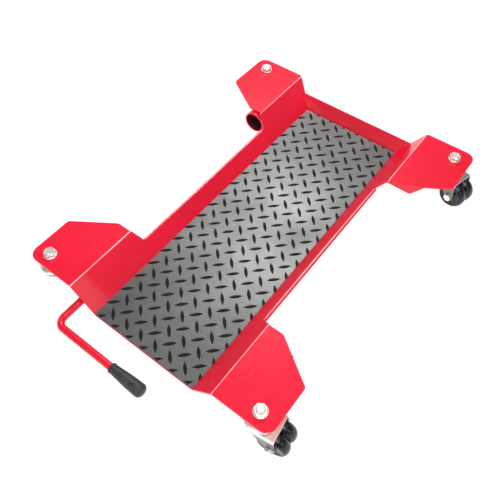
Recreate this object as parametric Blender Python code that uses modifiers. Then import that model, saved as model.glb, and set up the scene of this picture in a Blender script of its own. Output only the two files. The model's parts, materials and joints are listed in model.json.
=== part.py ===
"""Motorcycle parking dolly: a folded steel deck on four twin-wheel swivel casters.

Frame: metres, +Z up, Z = 0 on the floor, +Y from the entry edge to the stop rail,
X = 0 on the deck's centreline.  Y is centred on the overall length.
"""
import math

import bmesh
import bpy
from mathutils import Matrix, Vector

# ---------------------------------------------------------------- driving dimensions
GAP = 0.0003                  # space kept between touching pieces
MIRROR_MERGE = 0.00005
ORIGIN_Y = 0.3001             # from the deck's entry edge to the frame's origin

DECK_Z = 0.0450               # tread surface above the floor
MAT_T = 0.003
SHEET_T = 0.0035              # folded steel sheet
WING_RISE = 0.0465            # wing tops above the tread surface
FLOOR_RISE = -MAT_T - GAP     # top of the sheet's floor, from the tread surface
FLANK_LEAN = 0.8645           # sideways run of a flank for each unit of height
FLANK_X = 0.1068              # flank's inner face at the tread surface
FOOT_BEND_R = 0.003           # radii of the folds, on the sheet's upper face
WING_BEND_R = 0.007
BEND_STEPS = 3

HEM_RISE = 0.0225             # where a rail's flat side ends and its outward hem starts
HEM_R = 0.0040                # on the sheet's upper face
HEM_STEPS = 6
HEM_LEG = 0.008               # flat end of the hem, beside the rail

MAT_NEAR_Y = 0.0008
MAT_FAR_Y = 0.6200
DECK_FAR_Y = 0.6255           # far edge of the sheet's floor
WING_OUT_X = 0.2485           # outer edge of the wings
WING_NOSE_X = 0.175           # inner end of a wing's slanting edge
WING_ROOT_RUN = 0.004         # wings keep this much flat beside their fold
WING_SIDE_Y = 0.0885          # length of a near wing's outer edge
NEAR_WING_Y = 0.1375          # depth of the near wings
FAR_WING_Y = 0.510            # start of the far wings
FAR_WING_SIDE_Y = 0.555
FAR_EDGE_Y = 0.6545           # far edge of the far wings
RAIL_NEAR_Y = 0.149           # rails run between these
RAIL_FAR_Y = 0.493
WING_CORNER_R = 0.018
SIDE_CORNER_R = 0.006
NOSE_CORNER_R = 0.010
ROOT_CORNER_R = 0.004

END_RAIL_FOOT_Y = 0.6209      # stop rail's inner face at its foot
END_RAIL_LEAN = 0.55
END_RAIL_RISE = 0.0245
END_RAIL_HEEL = 0.0005        # the rail's foot is cut upright below this rise
END_RAIL_CLEAR = 0.0010       # sideways, clear of the rounded foot of the flanks

BOLT_X = 0.218                # caster stems
BOLT_NEAR_Y = 0.0226
BOLT_FAR_Y = 0.6245
STEM_R = 0.006
STEM_HOLE_R = 0.0068
STEM_ABOVE_WING = 0.0105
STEM_CHAMFER = 0.001
CUT_DEPTH = 0.02              # length of the tools that bore through sheet
NUT_ACROSS = 0.018
STEM_NUT_T = 0.006
LOCK_NUT_T = 0.008
WASHER_R = 0.0113
WASHER_T = 0.002
AXLE_ACROSS = 0.013

WHEEL_R = 0.0265
WHEEL_W = 0.0200
WHEEL_FACE_X = 0.0008         # inner face of a wheel from the fork's centre plane
WHEEL_CROWN = 0.0042          # how far a tread's shoulders drop
WHEEL_RIM = 0.005             # tread's depth at the shoulders
WHEEL_DISH = 0.0015
HUB_R = 0.009
TRAIL = 0.028                 # axle behind the swivel axis
AXLE_R = 0.004
AXLE_PLAY = 0.0004
AXLE_HEAD_T = 0.0053
AXLE_NUT_T = 0.0065
AXLE_THREAD_END = 0.0090      # shank's end beyond the fork's side
FORK_T = 0.0025
FORK_HALF_W = 0.0238          # also the radius of the bridge's front, about the stem
FORK_BACK = 0.033
FORK_BOSS_R = 0.009
FORK_TOP_Z = 0.060
CROWN_R = 0.025               # swivel bearing cover
CROWN_LOW_Z = 0.0655
CROWN_SIDE_Z = 0.0690
CROWN_TOP_Z = 0.0715
CROWN_EDGE = 0.003            # width of the cover's rounded edge
NECK_R = 0.010
NECK_LOW_Z = 0.0725
NECK_TOP_Z = 0.0735
RIVET_R = 0.0095
RIVET_T = 0.0030
BALL_RING_BORE_R = 0.0125

LEVER_R = 0.0065
LEVER_X = -0.138
LEVER_RISE = 0.005            # lever shaft's axis above the tread surface
LEVER_ARM_Y = -0.050
LEVER_BEND_R = 0.016
LEVER_BEND_STEPS = 6
SHAFT_END_Y = 0.1285
GRIP_FROM_X = -0.013
GRIP_TO_X = 0.054
GRIP_R = 0.0115
GRIP_END_R = 0.004
GRIP_END_WALL = 0.0115        # plastic beyond the bar's end
GRIP_MOUTH_R = 0.0080
GRIP_TAPER = 0.006
FOOT_NEAR_Y = 0.084
FOOT_W = 0.020
FOOT_HUB_R = 0.0125
FOOT_TOE_R = 0.0095
PAD_T = 0.005
PAD_EDGE = 0.001
PAD_ABOVE_FLOOR = 0.001
COLLAR_R = 0.0105
COLLAR_T = 0.0045

GUSSET_T = 0.0035
GUSSET_NEAR_Y = 0.116
GUSSET_FAR_RIGHT_Y = 0.532
GUSSET_FAR_LEFT_Y = 0.590
GUSSET_FOOT_RISE = 0.010
GUSSET_FOOT_X = 0.186
GUSSET_TOP_X = 0.207
GUSSET_KNEE = (0.004, 0.002)  # cut corner at the foot
GUSSET_CLEAR = (0.004, 0.005) # cut corner beside the wing's fold
BRACKET_NEAR_Y = 0.024
BRACKET_TOP_X = 0.160
LUG_R = 0.0145
LUG_ROOT_RISE = 0.004
BUSH_R = 0.0095
BUSH_BORE_R = LEVER_R + 0.0004
BUSH_FLANGE_R = 0.0125
BUSH_FLANGE_T = 0.002

TUBE_R = 0.022
TUBE_WALL = 0.003
TUBE_X = -0.1588
TUBE_RISE = 0.0199
TUBE_NEAR_Y = 0.5015
TUBE_FAR_Y = 0.585

RED = (0.78, 0.02, 0.045, 1.0)
ZINC = (0.72, 0.73, 0.72, 1.0)
BLACK = (0.02, 0.02, 0.022, 1.0)
RUBBER_GREY = (0.20, 0.21, 0.20, 1.0)
BRONZE = (0.42, 0.28, 0.12, 1.0)

FLANK_SLOPE = math.hypot(FLANK_LEAN, 1.0)
SHEET_T_X = SHEET_T * FLANK_SLOPE          # flank's thickness measured along X
WING_UNDER = WING_RISE - SHEET_T
WING_FOLD_X = FLANK_X + FLANK_LEAN * WING_RISE
FLOOR_FOLD_X = FLANK_X + FLANK_LEAN * FLOOR_RISE


# ---------------------------------------------------------------- scene and helpers
def clear_scene():
    for thing in list(bpy.data.objects):
        bpy.data.objects.remove(thing, do_unlink=True)


def collection(name):
    made = bpy.data.collections.new(name)
    bpy.context.scene.collection.children.link(made)
    return made


def place(x, y, rise=None, z=None):
    """World point from a point measured from the deck's entry edge.

    rise is measured from the tread surface, z from the floor.
    """
    height = DECK_Z + rise if z is None else z
    return Vector((x, y - ORIGIN_Y, height))


def material(name, colour, roughness, metallic):
    made = bpy.data.materials.new(name)
    made.use_nodes = True
    shader = made.node_tree.nodes["Principled BSDF"]
    shader.inputs["Base Color"].default_value = colour
    shader.inputs["Roughness"].default_value = roughness
    shader.inputs["Metallic"].default_value = metallic
    return made


def finish(thing, look):
    """Put an object in the parts collection with its own material."""
    colour, roughness, metallic = look
    PARTS.objects.link(thing)
    thing.data.materials.append(material(thing.name, colour, roughness, metallic))
    return thing


PAINT = (RED, 0.35, 0.0)
PLATED = (ZINC, 0.3, 1.0)
PLASTIC = (BLACK, 0.4, 0.0)
TREAD = (RUBBER_GREY, 0.6, 0.0)
SINTERED = (BRONZE, 0.5, 1.0)


def arc(centre, radius, start, end, steps):
    """Points on an arc, angles in degrees."""
    points = []
    for step in range(steps + 1):
        angle = math.radians(start + (end - start) * step / steps)
        points.append((centre[0] + radius * math.cos(angle), centre[1] + radius * math.sin(angle)))
    return points


def circle(centre, radius, sides):
    return arc(centre, radius, 0.0, 360.0, sides)[:-1]


def rounded(corners, steps=4):
    """Outline with each corner (x, y, radius) turned into an arc."""
    outline = []
    for index, (x, y, radius) in enumerate(corners):
        here = Vector((x, y))
        if radius == 0.0:
            outline.append((x, y))
            continue
        before = (Vector(corners[index - 1][:2]) - here).normalized()
        after = (Vector(corners[(index + 1) % len(corners)][:2]) - here).normalized()
        half = before.angle(after) / 2.0
        middle = here + (before + after).normalized() * (radius / math.sin(half))
        first = here + before * (radius / math.tan(half)) - middle
        turn = first.angle_signed(here + after * (radius / math.tan(half)) - middle)
        for step in range(steps + 1):
            spoke = first.copy()
            spoke.rotate(Matrix.Rotation(-turn * step / steps, 2))
            outline.append(tuple(middle + spoke))
    return outline


def plate(name, outlines, thickness, matrix, look):
    """Flat plate from closed outlines in its own XY plane, centred on that plane."""
    curve = bpy.data.curves.new(name, "CURVE")
    curve.dimensions = "2D"
    curve.fill_mode = "BOTH"
    curve.extrude = thickness / 2.0
    for outline in outlines:
        spline = curve.splines.new("POLY")
        spline.points.add(len(outline) - 1)
        for point, (x, y) in zip(spline.points, outline):
            point.co = (x, y, 0.0, 1.0)
        spline.use_cyclic_u = True
    thing = bpy.data.objects.new(name, curve)
    thing.matrix_world = matrix
    return finish(thing, look)


def across_y(centre_y, side=1):
    """Frame of a plate that stands across the deck: plate x is |X|, plate y is rise."""
    columns = Matrix(((side, 0, 0), (0, 0, -side), (0, 1, 0)))
    return Matrix.Translation(place(0.0, centre_y, rise=0.0)) @ columns.to_4x4()


def turned(name, profile, matrix, look, sides, closed=True):
    """Solid turned about its own Z from a profile of (radius, height) points.

    The profile runs down its outer side.
    """
    mesh = bpy.data.meshes.new(name)
    verts = [(radius, 0.0, height) for radius, height in profile]
    edges = [(index, index + 1) for index in range(len(verts) - 1)]
    if closed:
        edges.append((len(verts) - 1, 0))
    mesh.from_pydata(verts, edges, [])
    thing = bpy.data.objects.new(name, mesh)
    thing.matrix_world = matrix
    screw = thing.modifiers.new("Turn", "SCREW")
    screw.axis = "Z"
    screw.steps = sides
    screw.render_steps = sides
    screw.use_merge_vertices = True
    screw.merge_threshold = 0.00001
    return finish(thing, look)


def ring_profile(outer, inner, low, high):
    return [(outer, high), (outer, low), (inner, low), (inner, high)]


def bar(name, points, radius, look, resolution=3):
    """Round bar along a list of world points, with closed ends."""
    curve = bpy.data.curves.new(name, "CURVE")
    curve.dimensions = "3D"
    curve.bevel_depth = radius
    curve.bevel_resolution = resolution
    curve.use_fill_caps = True
    spline = curve.splines.new("POLY")
    spline.points.add(len(points) - 1)
    for point, where in zip(spline.points, points):
        point.co = (*where, 1.0)
    return finish(bpy.data.objects.new(name, curve), look)


def cutter(name, radius, length, matrix, sides=24):
    mesh = bpy.data.meshes.new(name)
    shape = bmesh.new()
    bmesh.ops.create_cone(shape, cap_ends=True, segments=sides, radius1=radius, radius2=radius, depth=length)
    shape.to_mesh(mesh)
    shape.free()
    thing = bpy.data.objects.new(name, mesh)
    thing.matrix_world = matrix
    thing.hide_render = True
    thing.display_type = "WIRE"
    CUTTERS.objects.link(thing)
    return thing


def cut(thing, tool):
    boolean = thing.modifiers.new("Cut " + tool.name, "BOOLEAN")
    boolean.operation = "DIFFERENCE"
    boolean.solver = "EXACT"
    boolean.object = tool


def thicken(thing, thickness):
    """Sheet metal: the modelled face is the one the normals leave."""
    solid = thing.modifiers.new("Sheet", "SOLIDIFY")
    solid.thickness = thickness
    solid.offset = -1.0
    solid.use_even_offset = True
    solid.use_quality_normals = True


def split_sheet(shape, lines, axis):
    """Cut a flat sheet along lines of constant coordinate, so it can fold there."""
    for line in lines:
        spot = Vector((0.0, 0.0, 0.0))
        spot[axis] = line
        normal = Vector((0.0, 0.0, 0.0))
        normal[axis] = 1.0
        everything = shape.verts[:] + shape.edges[:] + shape.faces[:]
        bmesh.ops.bisect_plane(shape, geom=everything, dist=0.000001, plane_co=spot, plane_no=normal)


# ---------------------------------------------------------------- folding the deck sheet
FLANK_ANGLE = math.atan2(1.0, FLANK_LEAN)
FOOT_TANGENT = FOOT_BEND_R * math.tan(FLANK_ANGLE / 2.0)
WING_TANGENT = WING_BEND_R * math.tan(FLANK_ANGLE / 2.0)
FLANK_LEN = (WING_RISE - FLOOR_RISE) * FLANK_SLOPE
U_FOOT = FLOOR_FOLD_X - FOOT_TANGENT
U_FLANK = U_FOOT + FOOT_BEND_R * FLANK_ANGLE
U_SHOULDER = U_FLANK + FLANK_LEN - FOOT_TANGENT - WING_TANGENT
U_WING = U_SHOULDER + WING_BEND_R * FLANK_ANGLE
U_HEM = U_FLANK + (HEM_RISE - FLOOR_RISE) * FLANK_SLOPE - FOOT_TANGENT
U_HEM_LEG = U_HEM + math.pi * HEM_R
U_HEM_END = U_HEM_LEG + HEM_LEG


def blank_u_wing(x):
    """Distance across the flat blank to a point of the wing at x."""
    return U_WING + x - (WING_FOLD_X + WING_TANGENT)


def fold(u):
    """x and rise of the sheet's upper face at distance u across the flat blank."""
    if u <= U_FOOT:
        return u, FLOOR_RISE
    if u <= U_FLANK:
        angle = (u - U_FOOT) / FOOT_BEND_R
        drop = FOOT_BEND_R * (1.0 - math.cos(angle))
        return U_FOOT + FOOT_BEND_R * math.sin(angle), FLOOR_RISE + drop
    if u <= U_SHOULDER:
        rise = FLOOR_RISE + (u - U_FLANK + FOOT_TANGENT) / FLANK_SLOPE
        return FLANK_X + FLANK_LEAN * rise, rise
    wing_x = WING_FOLD_X + WING_TANGENT
    if u <= U_WING:
        angle = (U_WING - u) / WING_BEND_R
        drop = WING_BEND_R * (1.0 - math.cos(angle))
        return wing_x - WING_BEND_R * math.sin(angle), WING_RISE - drop
    return wing_x + (u - U_WING), WING_RISE


def fold_hem(u):
    """x and rise of a rail's hem: half a turn outward, then back down beside the rail."""
    up = Vector((FLANK_LEAN, 1.0)) / FLANK_SLOPE
    outward = Vector((up.y, -up.x))
    start = Vector((FLANK_X + FLANK_LEAN * HEM_RISE, HEM_RISE))
    angle = min((u - U_HEM) / HEM_R, math.pi)
    leg = max(u - U_HEM_LEG, 0.0)
    along = HEM_R * math.sin(angle) - leg
    across = HEM_R * (1.0 - math.cos(angle))
    return tuple(start + up * along + outward * across)


def make_deck_pan():
    """The floor, both rails, the four legs and the four wings are one folded sheet."""
    u_out = blank_u_wing(WING_OUT_X)
    u_nose = blank_u_wing(WING_NOSE_X)
    u_root = blank_u_wing(WING_FOLD_X + WING_ROOT_RUN)
    outline = rounded([
        (0.0, 0.0, 0.0),
        (u_out, 0.0, WING_CORNER_R),
        (u_out, WING_SIDE_Y, SIDE_CORNER_R),
        (u_nose, NEAR_WING_Y, NOSE_CORNER_R),
        (u_root, NEAR_WING_Y, ROOT_CORNER_R),
        (U_HEM, RAIL_NEAR_Y, 0.0),
        (U_HEM_END, RAIL_NEAR_Y, 0.0),
        (U_HEM_END, RAIL_FAR_Y, 0.0),
        (U_HEM, RAIL_FAR_Y, 0.0),
        (u_root, FAR_WING_Y, ROOT_CORNER_R),
        (u_nose, FAR_WING_Y, NOSE_CORNER_R),
        (u_out, FAR_WING_SIDE_Y, SIDE_CORNER_R),
        (u_out, FAR_EDGE_Y, WING_CORNER_R),
        (u_root, FAR_EDGE_Y, 0.0),
        (U_FOOT, DECK_FAR_Y, 0.0),
        (0.0, DECK_FAR_Y, 0.0),
    ])
    shape = bmesh.new()
    shape.faces.new([shape.verts.new((u, y, 0.0)) for u, y in outline])
    bends = []
    for start, end, steps in ((U_FOOT, U_FLANK, BEND_STEPS),
                              (U_HEM, U_HEM_LEG, HEM_STEPS),
                              (U_SHOULDER, U_WING, BEND_STEPS)):
        bends += [start + (end - start) * step / steps for step in range(steps + 1)]
    split_sheet(shape, bends, 0)
    for vert in shape.verts:
        u, y = vert.co.x, vert.co.y
        on_rail = RAIL_NEAR_Y - GAP < y < RAIL_FAR_Y + GAP
        x, rise = fold_hem(u) if on_rail and u > U_HEM else fold(u)
        vert.co = place(x, y, rise=rise)
    mesh = bpy.data.meshes.new("deck_pan")
    shape.normal_update()
    shape.to_mesh(mesh)
    shape.free()
    pan = bpy.data.objects.new("deck_pan", mesh)
    mirror = pan.modifiers.new("Other half", "MIRROR")
    mirror.use_clip = True
    mirror.merge_threshold = MIRROR_MERGE
    thicken(pan, SHEET_T)
    finish(pan, PAINT)
    for name, x, y in CORNERS:
        hole = Matrix.Translation(place(x, y, rise=WING_RISE))
        cut(pan, cutter("stem_hole_" + name, STEM_HOLE_R, CUT_DEPTH, hole))


def flank_outer_x(rise):
    """Outer face of a flank, with the gap that a welded piece keeps."""
    return FLANK_X + FLANK_LEAN * rise + SHEET_T_X + GAP * FLANK_SLOPE


def make_end_rail():
    """Stop rail across the far end: a leaning plate whose ends follow the flanks."""
    slope = math.hypot(END_RAIL_LEAN, 1.0)
    back_drop = SHEET_T * END_RAIL_LEAN / slope       # outer face, below the inner face
    back_shift = SHEET_T / slope
    low = FLOOR_RISE + GAP

    def inner_y(rise):
        return END_RAIL_FOOT_Y + END_RAIL_LEAN * (rise - low - back_drop)

    section = [
        (inner_y(END_RAIL_HEEL), low),
        (inner_y(END_RAIL_HEEL), END_RAIL_HEEL),
        (inner_y(END_RAIL_RISE), END_RAIL_RISE),
        (inner_y(END_RAIL_RISE) + back_shift, END_RAIL_RISE - back_drop),
        (END_RAIL_FOOT_Y + back_shift, low),
    ]
    shape = bmesh.new()
    ends = []
    for side in (-1.0, 1.0):
        end = []
        for y, rise in section:
            x = FLANK_X + FLANK_LEAN * rise - END_RAIL_CLEAR
            end.append(shape.verts.new(place(side * x, y, rise=rise)))
        shape.faces.new(end)
        ends.append(end)
    for index in range(len(section)):
        left, right = ends
        shape.faces.new((left[index - 1], left[index], right[index], right[index - 1]))
    bmesh.ops.recalc_face_normals(shape, faces=shape.faces[:])
    mesh = bpy.data.meshes.new("end_rail")
    shape.to_mesh(mesh)
    shape.free()
    finish(bpy.data.objects.new("end_rail", mesh), PAINT)


def make_deck_mat():
    """Mat whose sides follow the folds and flanks of the sheet."""
    bend = (U_FOOT, FLOOR_RISE + FOOT_BEND_R)
    side = arc(bend, FOOT_BEND_R - GAP, -90.0, math.degrees(FLANK_ANGLE) - 90.0, BEND_STEPS)
    side.append((FLANK_X - GAP * FLANK_SLOPE, 0.0))
    other = [(-x, rise) for x, rise in reversed(side)]
    middle_y = (MAT_NEAR_Y + MAT_FAR_Y) / 2.0
    plate("deck_mat", [side + other], MAT_FAR_Y - MAT_NEAR_Y, across_y(middle_y), TREAD)


# ---------------------------------------------------------------- pieces under the wings
def gusset_knee():
    """Cut corner at the foot of a gusset's outer edge."""
    run, height = GUSSET_KNEE
    return [(GUSSET_FOOT_X - run, GUSSET_FOOT_RISE), (GUSSET_FOOT_X, GUSSET_FOOT_RISE + height)]


def gusset_top(top_x):
    """Top edge under the wing, cut back beside the wing's fold."""
    top = WING_UNDER - GAP
    run, height = GUSSET_CLEAR
    return [(top_x, top), (flank_outer_x(top) + run, top), (flank_outer_x(top - height), top - height)]


def plain_gusset(name, side, centre_y):
    foot = (flank_outer_x(GUSSET_FOOT_RISE), GUSSET_FOOT_RISE)
    outline = [foot] + gusset_knee() + gusset_top(GUSSET_TOP_X)
    plate(name, [outline], GUSSET_T, across_y(centre_y, side), PAINT)


def shaft_gusset(name, centre_y, top_x, knee):
    """Gusset with a lug and a hole that carry a bush of the lever shaft."""
    pivot = (-LEVER_X, LEVER_RISE)
    lug = arc(pivot, LUG_R, 200.0, 350.0, 8)
    root = (flank_outer_x(LUG_ROOT_RISE), LUG_ROOT_RISE)
    hole = circle(pivot, BUSH_R + GAP, 20)
    plate(name, [[root] + lug + knee + gusset_top(top_x), hole], GUSSET_T, across_y(centre_y, -1), PAINT)


def along_y(x, y, rise):
    """Frame whose Z runs along world -Y."""
    return Matrix.Translation(place(x, y, rise=rise)) @ Matrix.Rotation(math.radians(90.0), 4, "X")


def make_bush(name, plate_y):
    """Flanged bush, its flange on the entry side of the plate."""
    half = GUSSET_T / 2.0
    flange_low = half + GAP
    flange_high = flange_low + BUSH_FLANGE_T
    profile = [
        (BUSH_FLANGE_R, flange_high),
        (BUSH_FLANGE_R, flange_low),
        (BUSH_R, flange_low),
        (BUSH_R, -half - BUSH_FLANGE_T),
        (BUSH_BORE_R, -half - BUSH_FLANGE_T),
        (BUSH_BORE_R, flange_high),
    ]
    turned(name, profile, along_y(LEVER_X, plate_y, LEVER_RISE), SINTERED, 20)


def make_socket_tube():
    length = TUBE_FAR_Y - TUBE_NEAR_Y
    profile = ring_profile(TUBE_R, TUBE_R - TUBE_WALL, -length, 0.0)
    turned("socket_tube", profile, along_y(TUBE_X, TUBE_NEAR_Y, TUBE_RISE), PAINT, 32)


# ---------------------------------------------------------------- floor lock lever
def make_lever():
    corner = (LEVER_X + LEVER_BEND_R, LEVER_ARM_Y + LEVER_BEND_R)
    route = [(LEVER_X, SHAFT_END_Y)]
    route += arc(corner, LEVER_BEND_R, 180.0, 270.0, LEVER_BEND_STEPS)
    route.append((GRIP_TO_X - GRIP_END_WALL - GAP, LEVER_ARM_Y))
    bar("lever_bar", [place(x, y, rise=LEVER_RISE) for x, y in route], LEVER_R, PAINT)

    length = GRIP_TO_X - GRIP_FROM_X
    bore_depth = length - GRIP_END_WALL
    bore_r = LEVER_R + GAP
    end = arc((GRIP_R - GRIP_END_R, length - GRIP_END_R), GRIP_END_R, 90.0, 0.0, 3)
    mouth = [(GRIP_MOUTH_R, GRIP_TAPER), (GRIP_MOUTH_R, 0.0), (bore_r, 0.0)]
    profile = [(0.0, length)] + end + mouth + [(bore_r, bore_depth), (0.0, bore_depth)]
    along_x = Matrix.Rotation(math.radians(90.0), 4, "Y")
    start = Matrix.Translation(place(GRIP_FROM_X, LEVER_ARM_Y, rise=LEVER_RISE))
    turned("lever_grip", profile, start @ along_x, PLASTIC, 20, closed=False)

    for name, y in (("front", BRACKET_NEAR_Y), ("rear", GUSSET_NEAR_Y)):
        make_bush("lever_bush_" + name, y + GUSSET_T / 2.0)

    collar = ring_profile(COLLAR_R, LEVER_R + GAP, 0.0, COLLAR_T)
    collar_y = GUSSET_NEAR_Y + GUSSET_T + BUSH_FLANGE_T + COLLAR_T + GAP
    turned("lever_collar", collar, along_y(LEVER_X, collar_y, LEVER_RISE), PLATED, 20)


def make_lock_foot():
    """Foot on the lever shaft: lies under the wing, stands on the floor once turned down."""
    reach = DECK_Z + LEVER_RISE - PAD_T - GAP - PAD_ABOVE_FLOOR
    hub = arc((0.0, 0.0), FOOT_HUB_R, -60.0, 60.0, 6)
    outline = hub + [(-reach, FOOT_TOE_R), (-reach, -FOOT_TOE_R)]
    bore = circle((0.0, 0.0), LEVER_R + GAP, 20)
    middle_y = FOOT_NEAR_Y + FOOT_W / 2.0
    plate("lock_foot", [outline, bore], FOOT_W, along_y(LEVER_X, middle_y, LEVER_RISE), PAINT)

    pad = bpy.data.meshes.new("foot_pad")
    shape = bmesh.new()
    bmesh.ops.create_cube(shape, size=1.0)
    bmesh.ops.scale(shape, vec=(PAD_T, FOOT_W, 2.0 * FOOT_TOE_R), verts=shape.verts[:])
    shape.to_mesh(pad)
    shape.free()
    thing = bpy.data.objects.new("foot_pad", pad)
    thing.location = place(LEVER_X - reach - GAP - PAD_T / 2.0, middle_y, rise=LEVER_RISE)
    edge = thing.modifiers.new("Soft edges", "BEVEL")
    edge.width = PAD_EDGE
    edge.segments = 1
    finish(thing, PLASTIC)


# ---------------------------------------------------------------- casters
# corner, and its stem position from the entry edge
CORNERS = (
    ("near_left", -BOLT_X, BOLT_NEAR_Y),
    ("near_right", BOLT_X, BOLT_NEAR_Y),
    ("far_left", -BOLT_X, BOLT_FAR_Y),
    ("far_right", BOLT_X, BOLT_FAR_Y),
)
# the way each caster's wheels trail, in degrees from +X
TRAIL_ANGLE = {"near_left": 90.0, "near_right": 8.0, "far_left": 165.0, "far_right": -13.0}
WING_TOP_Z = DECK_Z + WING_RISE
WING_UNDER_Z = DECK_Z + WING_UNDER
STEM_SIDES = 18
AXLE_SIDES = 16


def hexagon(across):
    return circle((0.0, 0.0), across / math.sqrt(3.0), 6)


def hex_nut(name, across, hole, low, high, frame):
    """Nut between two heights of its own frame, with a hole outline."""
    middle = frame @ Matrix.Translation((0.0, 0.0, (low + high) / 2.0))
    plate(name, [hexagon(across), hole], high - low, middle, PLATED)


def make_stem(corner, swivel):
    """Threaded stem with its bearing cover, riveted through the fork from below."""
    rivet_top = FORK_TOP_Z - FORK_T - GAP
    rivet_low = rivet_top - RIVET_T
    top = WING_TOP_Z + STEM_ABOVE_WING
    profile = [
        (0.0, top),
        (STEM_R - STEM_CHAMFER, top),
        (STEM_R, top - STEM_CHAMFER),
        (STEM_R, NECK_TOP_Z),
        (NECK_R, NECK_LOW_Z),
        (CROWN_R - CROWN_EDGE, CROWN_TOP_Z),
        (CROWN_R, CROWN_SIDE_Z),
        (CROWN_R, CROWN_LOW_Z),
        (STEM_R, CROWN_LOW_Z),
        (STEM_R, rivet_top),
        (RIVET_R, rivet_top),
        (RIVET_R - STEM_CHAMFER, rivet_low),
        (0.0, rivet_low),
    ]
    turned("caster_stem_" + corner, profile, swivel, PLATED, STEM_SIDES, closed=False)
    ring = ring_profile(CROWN_R - CROWN_EDGE, BALL_RING_BORE_R, FORK_TOP_Z + GAP, CROWN_LOW_Z - GAP)
    turned("ball_ring_" + corner, ring, swivel, PLATED, STEM_SIDES)


def make_stem_fasteners(corner, swivel):
    under = WING_UNDER_Z - GAP
    washer_low = WING_TOP_Z + GAP
    hole = circle((0.0, 0.0), STEM_R + GAP, STEM_SIDES)
    hex_nut("lock_nut_" + corner, NUT_ACROSS, hole, under - LOCK_NUT_T, under, swivel)
    middle = swivel @ Matrix.Translation((0.0, 0.0, washer_low + WASHER_T / 2.0))
    rings = [circle((0.0, 0.0), WASHER_R, 20), hole]
    plate("stem_washer_" + corner, rings, WASHER_T, middle, PLATED)
    low = washer_low + WASHER_T + GAP
    hex_nut("stem_nut_" + corner, NUT_ACROSS, hole, low, low + STEM_NUT_T, swivel)


def make_fork(corner, swivel):
    """Pressed fork: a bridge over both wheels and two legs down to the axle."""
    side = FORK_HALF_W
    drop = FORK_TOP_Z - WHEEL_R
    # flat blank: x along the trail, y across, the legs beyond the bridge's sides
    boss = arc((TRAIL, side + drop), FORK_BOSS_R, 20.0, 145.0, 5)
    front = arc((0.0, 0.0), side, 90.0, 180.0, 5)
    half = [(FORK_BACK, 0.0), (FORK_BACK, side)] + boss + front
    shape = bmesh.new()
    shape.faces.new([shape.verts.new((x, y, 0.0)) for x, y in half])
    split_sheet(shape, [side], 1)
    for vert in shape.verts:
        past = vert.co.y - side
        if past > 0.000001:
            vert.co = Vector((vert.co.x, side, -past))
        vert.co.z += FORK_TOP_Z
    shape.normal_update()
    mesh = bpy.data.meshes.new("caster_fork_" + corner)
    shape.to_mesh(mesh)
    shape.free()
    fork = bpy.data.objects.new("caster_fork_" + corner, mesh)
    fork.matrix_world = swivel
    mirror = fork.modifiers.new("Other half", "MIRROR")
    mirror.use_axis = (False, True, False)
    mirror.use_clip = True
    mirror.merge_threshold = MIRROR_MERGE
    thicken(fork, FORK_T)
    finish(fork, PLATED)
    stem_way = swivel @ Matrix.Translation((0.0, 0.0, FORK_TOP_Z))
    cut(fork, cutter("fork_hole_" + corner, STEM_R + 2.0 * GAP, CUT_DEPTH, stem_way, 20))
    bore = cutter("axle_hole_" + corner, AXLE_R + AXLE_PLAY, 4.0 * FORK_HALF_W, axle_frame(swivel), AXLE_SIDES)
    cut(fork, bore)


def axle_frame(swivel):
    """Frame at the middle of the axle, its Z along the axle."""
    centre = Matrix.Translation((TRAIL, 0.0, WHEEL_R))
    return swivel @ centre @ Matrix.Rotation(math.radians(90.0), 4, "X")


def make_axle(corner, swivel):
    frame = axle_frame(swivel)
    seat = FORK_HALF_W + GAP
    head_high = seat + AXLE_HEAD_T
    shank_high = seat + AXLE_HEAD_T / 2.0
    shank_low = -seat - AXLE_THREAD_END
    head_r = AXLE_ACROSS / math.sqrt(3.0)
    name = "axle_bolt_" + corner
    mesh = bpy.data.meshes.new(name)
    shape = bmesh.new()
    head = Matrix.Translation((0.0, 0.0, (seat + head_high) / 2.0))
    bmesh.ops.create_cone(shape, cap_ends=True, segments=6, radius1=head_r, radius2=head_r,
                          depth=head_high - seat, matrix=head)
    shape.to_mesh(mesh)
    shape.free()
    bolt = bpy.data.objects.new(name, mesh)
    bolt.matrix_world = frame
    shank_mid = frame @ Matrix.Translation((0.0, 0.0, (shank_high + shank_low) / 2.0))
    shank = cutter("shank_" + corner, AXLE_R, shank_high - shank_low, shank_mid, AXLE_SIDES)
    join = bolt.modifiers.new("Shank", "BOOLEAN")
    join.operation = "UNION"
    join.solver = "EXACT"
    join.object = shank
    finish(bolt, PLATED)
    hole = circle((0.0, 0.0), AXLE_R + GAP, AXLE_SIDES)
    hex_nut("axle_nut_" + corner, AXLE_ACROSS, hole, -seat - AXLE_NUT_T, -seat, frame)


def wheel_profile():
    """Closed section of a wheel: crowned tread, dished faces, bored hub."""
    rim = WHEEL_R - WHEEL_CROWN - WHEEL_RIM
    half = WHEEL_W / 2.0
    face = half - WHEEL_DISH
    tread = []
    for step in range(5):
        across = 1.0 - step / 2.0
        tread.append((WHEEL_R - WHEEL_CROWN * abs(across) ** 2.5, half * across))
    bore = AXLE_R + AXLE_PLAY
    return tread + [
        (rim, -face),
        (HUB_R, -face),
        (HUB_R, -half),
        (bore, -half),
        (bore, half),
        (HUB_R, half),
        (HUB_R, face),
        (rim, face),
    ]


def make_wheels(corner, swivel):
    frame = axle_frame(swivel)
    for side, sign in (("a", 1.0), ("b", -1.0)):
        middle = sign * (WHEEL_FACE_X + WHEEL_W / 2.0)
        where = frame @ Matrix.Translation((0.0, 0.0, middle))
        turned("wheel_" + side + "_" + corner, wheel_profile(), where, PLASTIC, 24)


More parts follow.
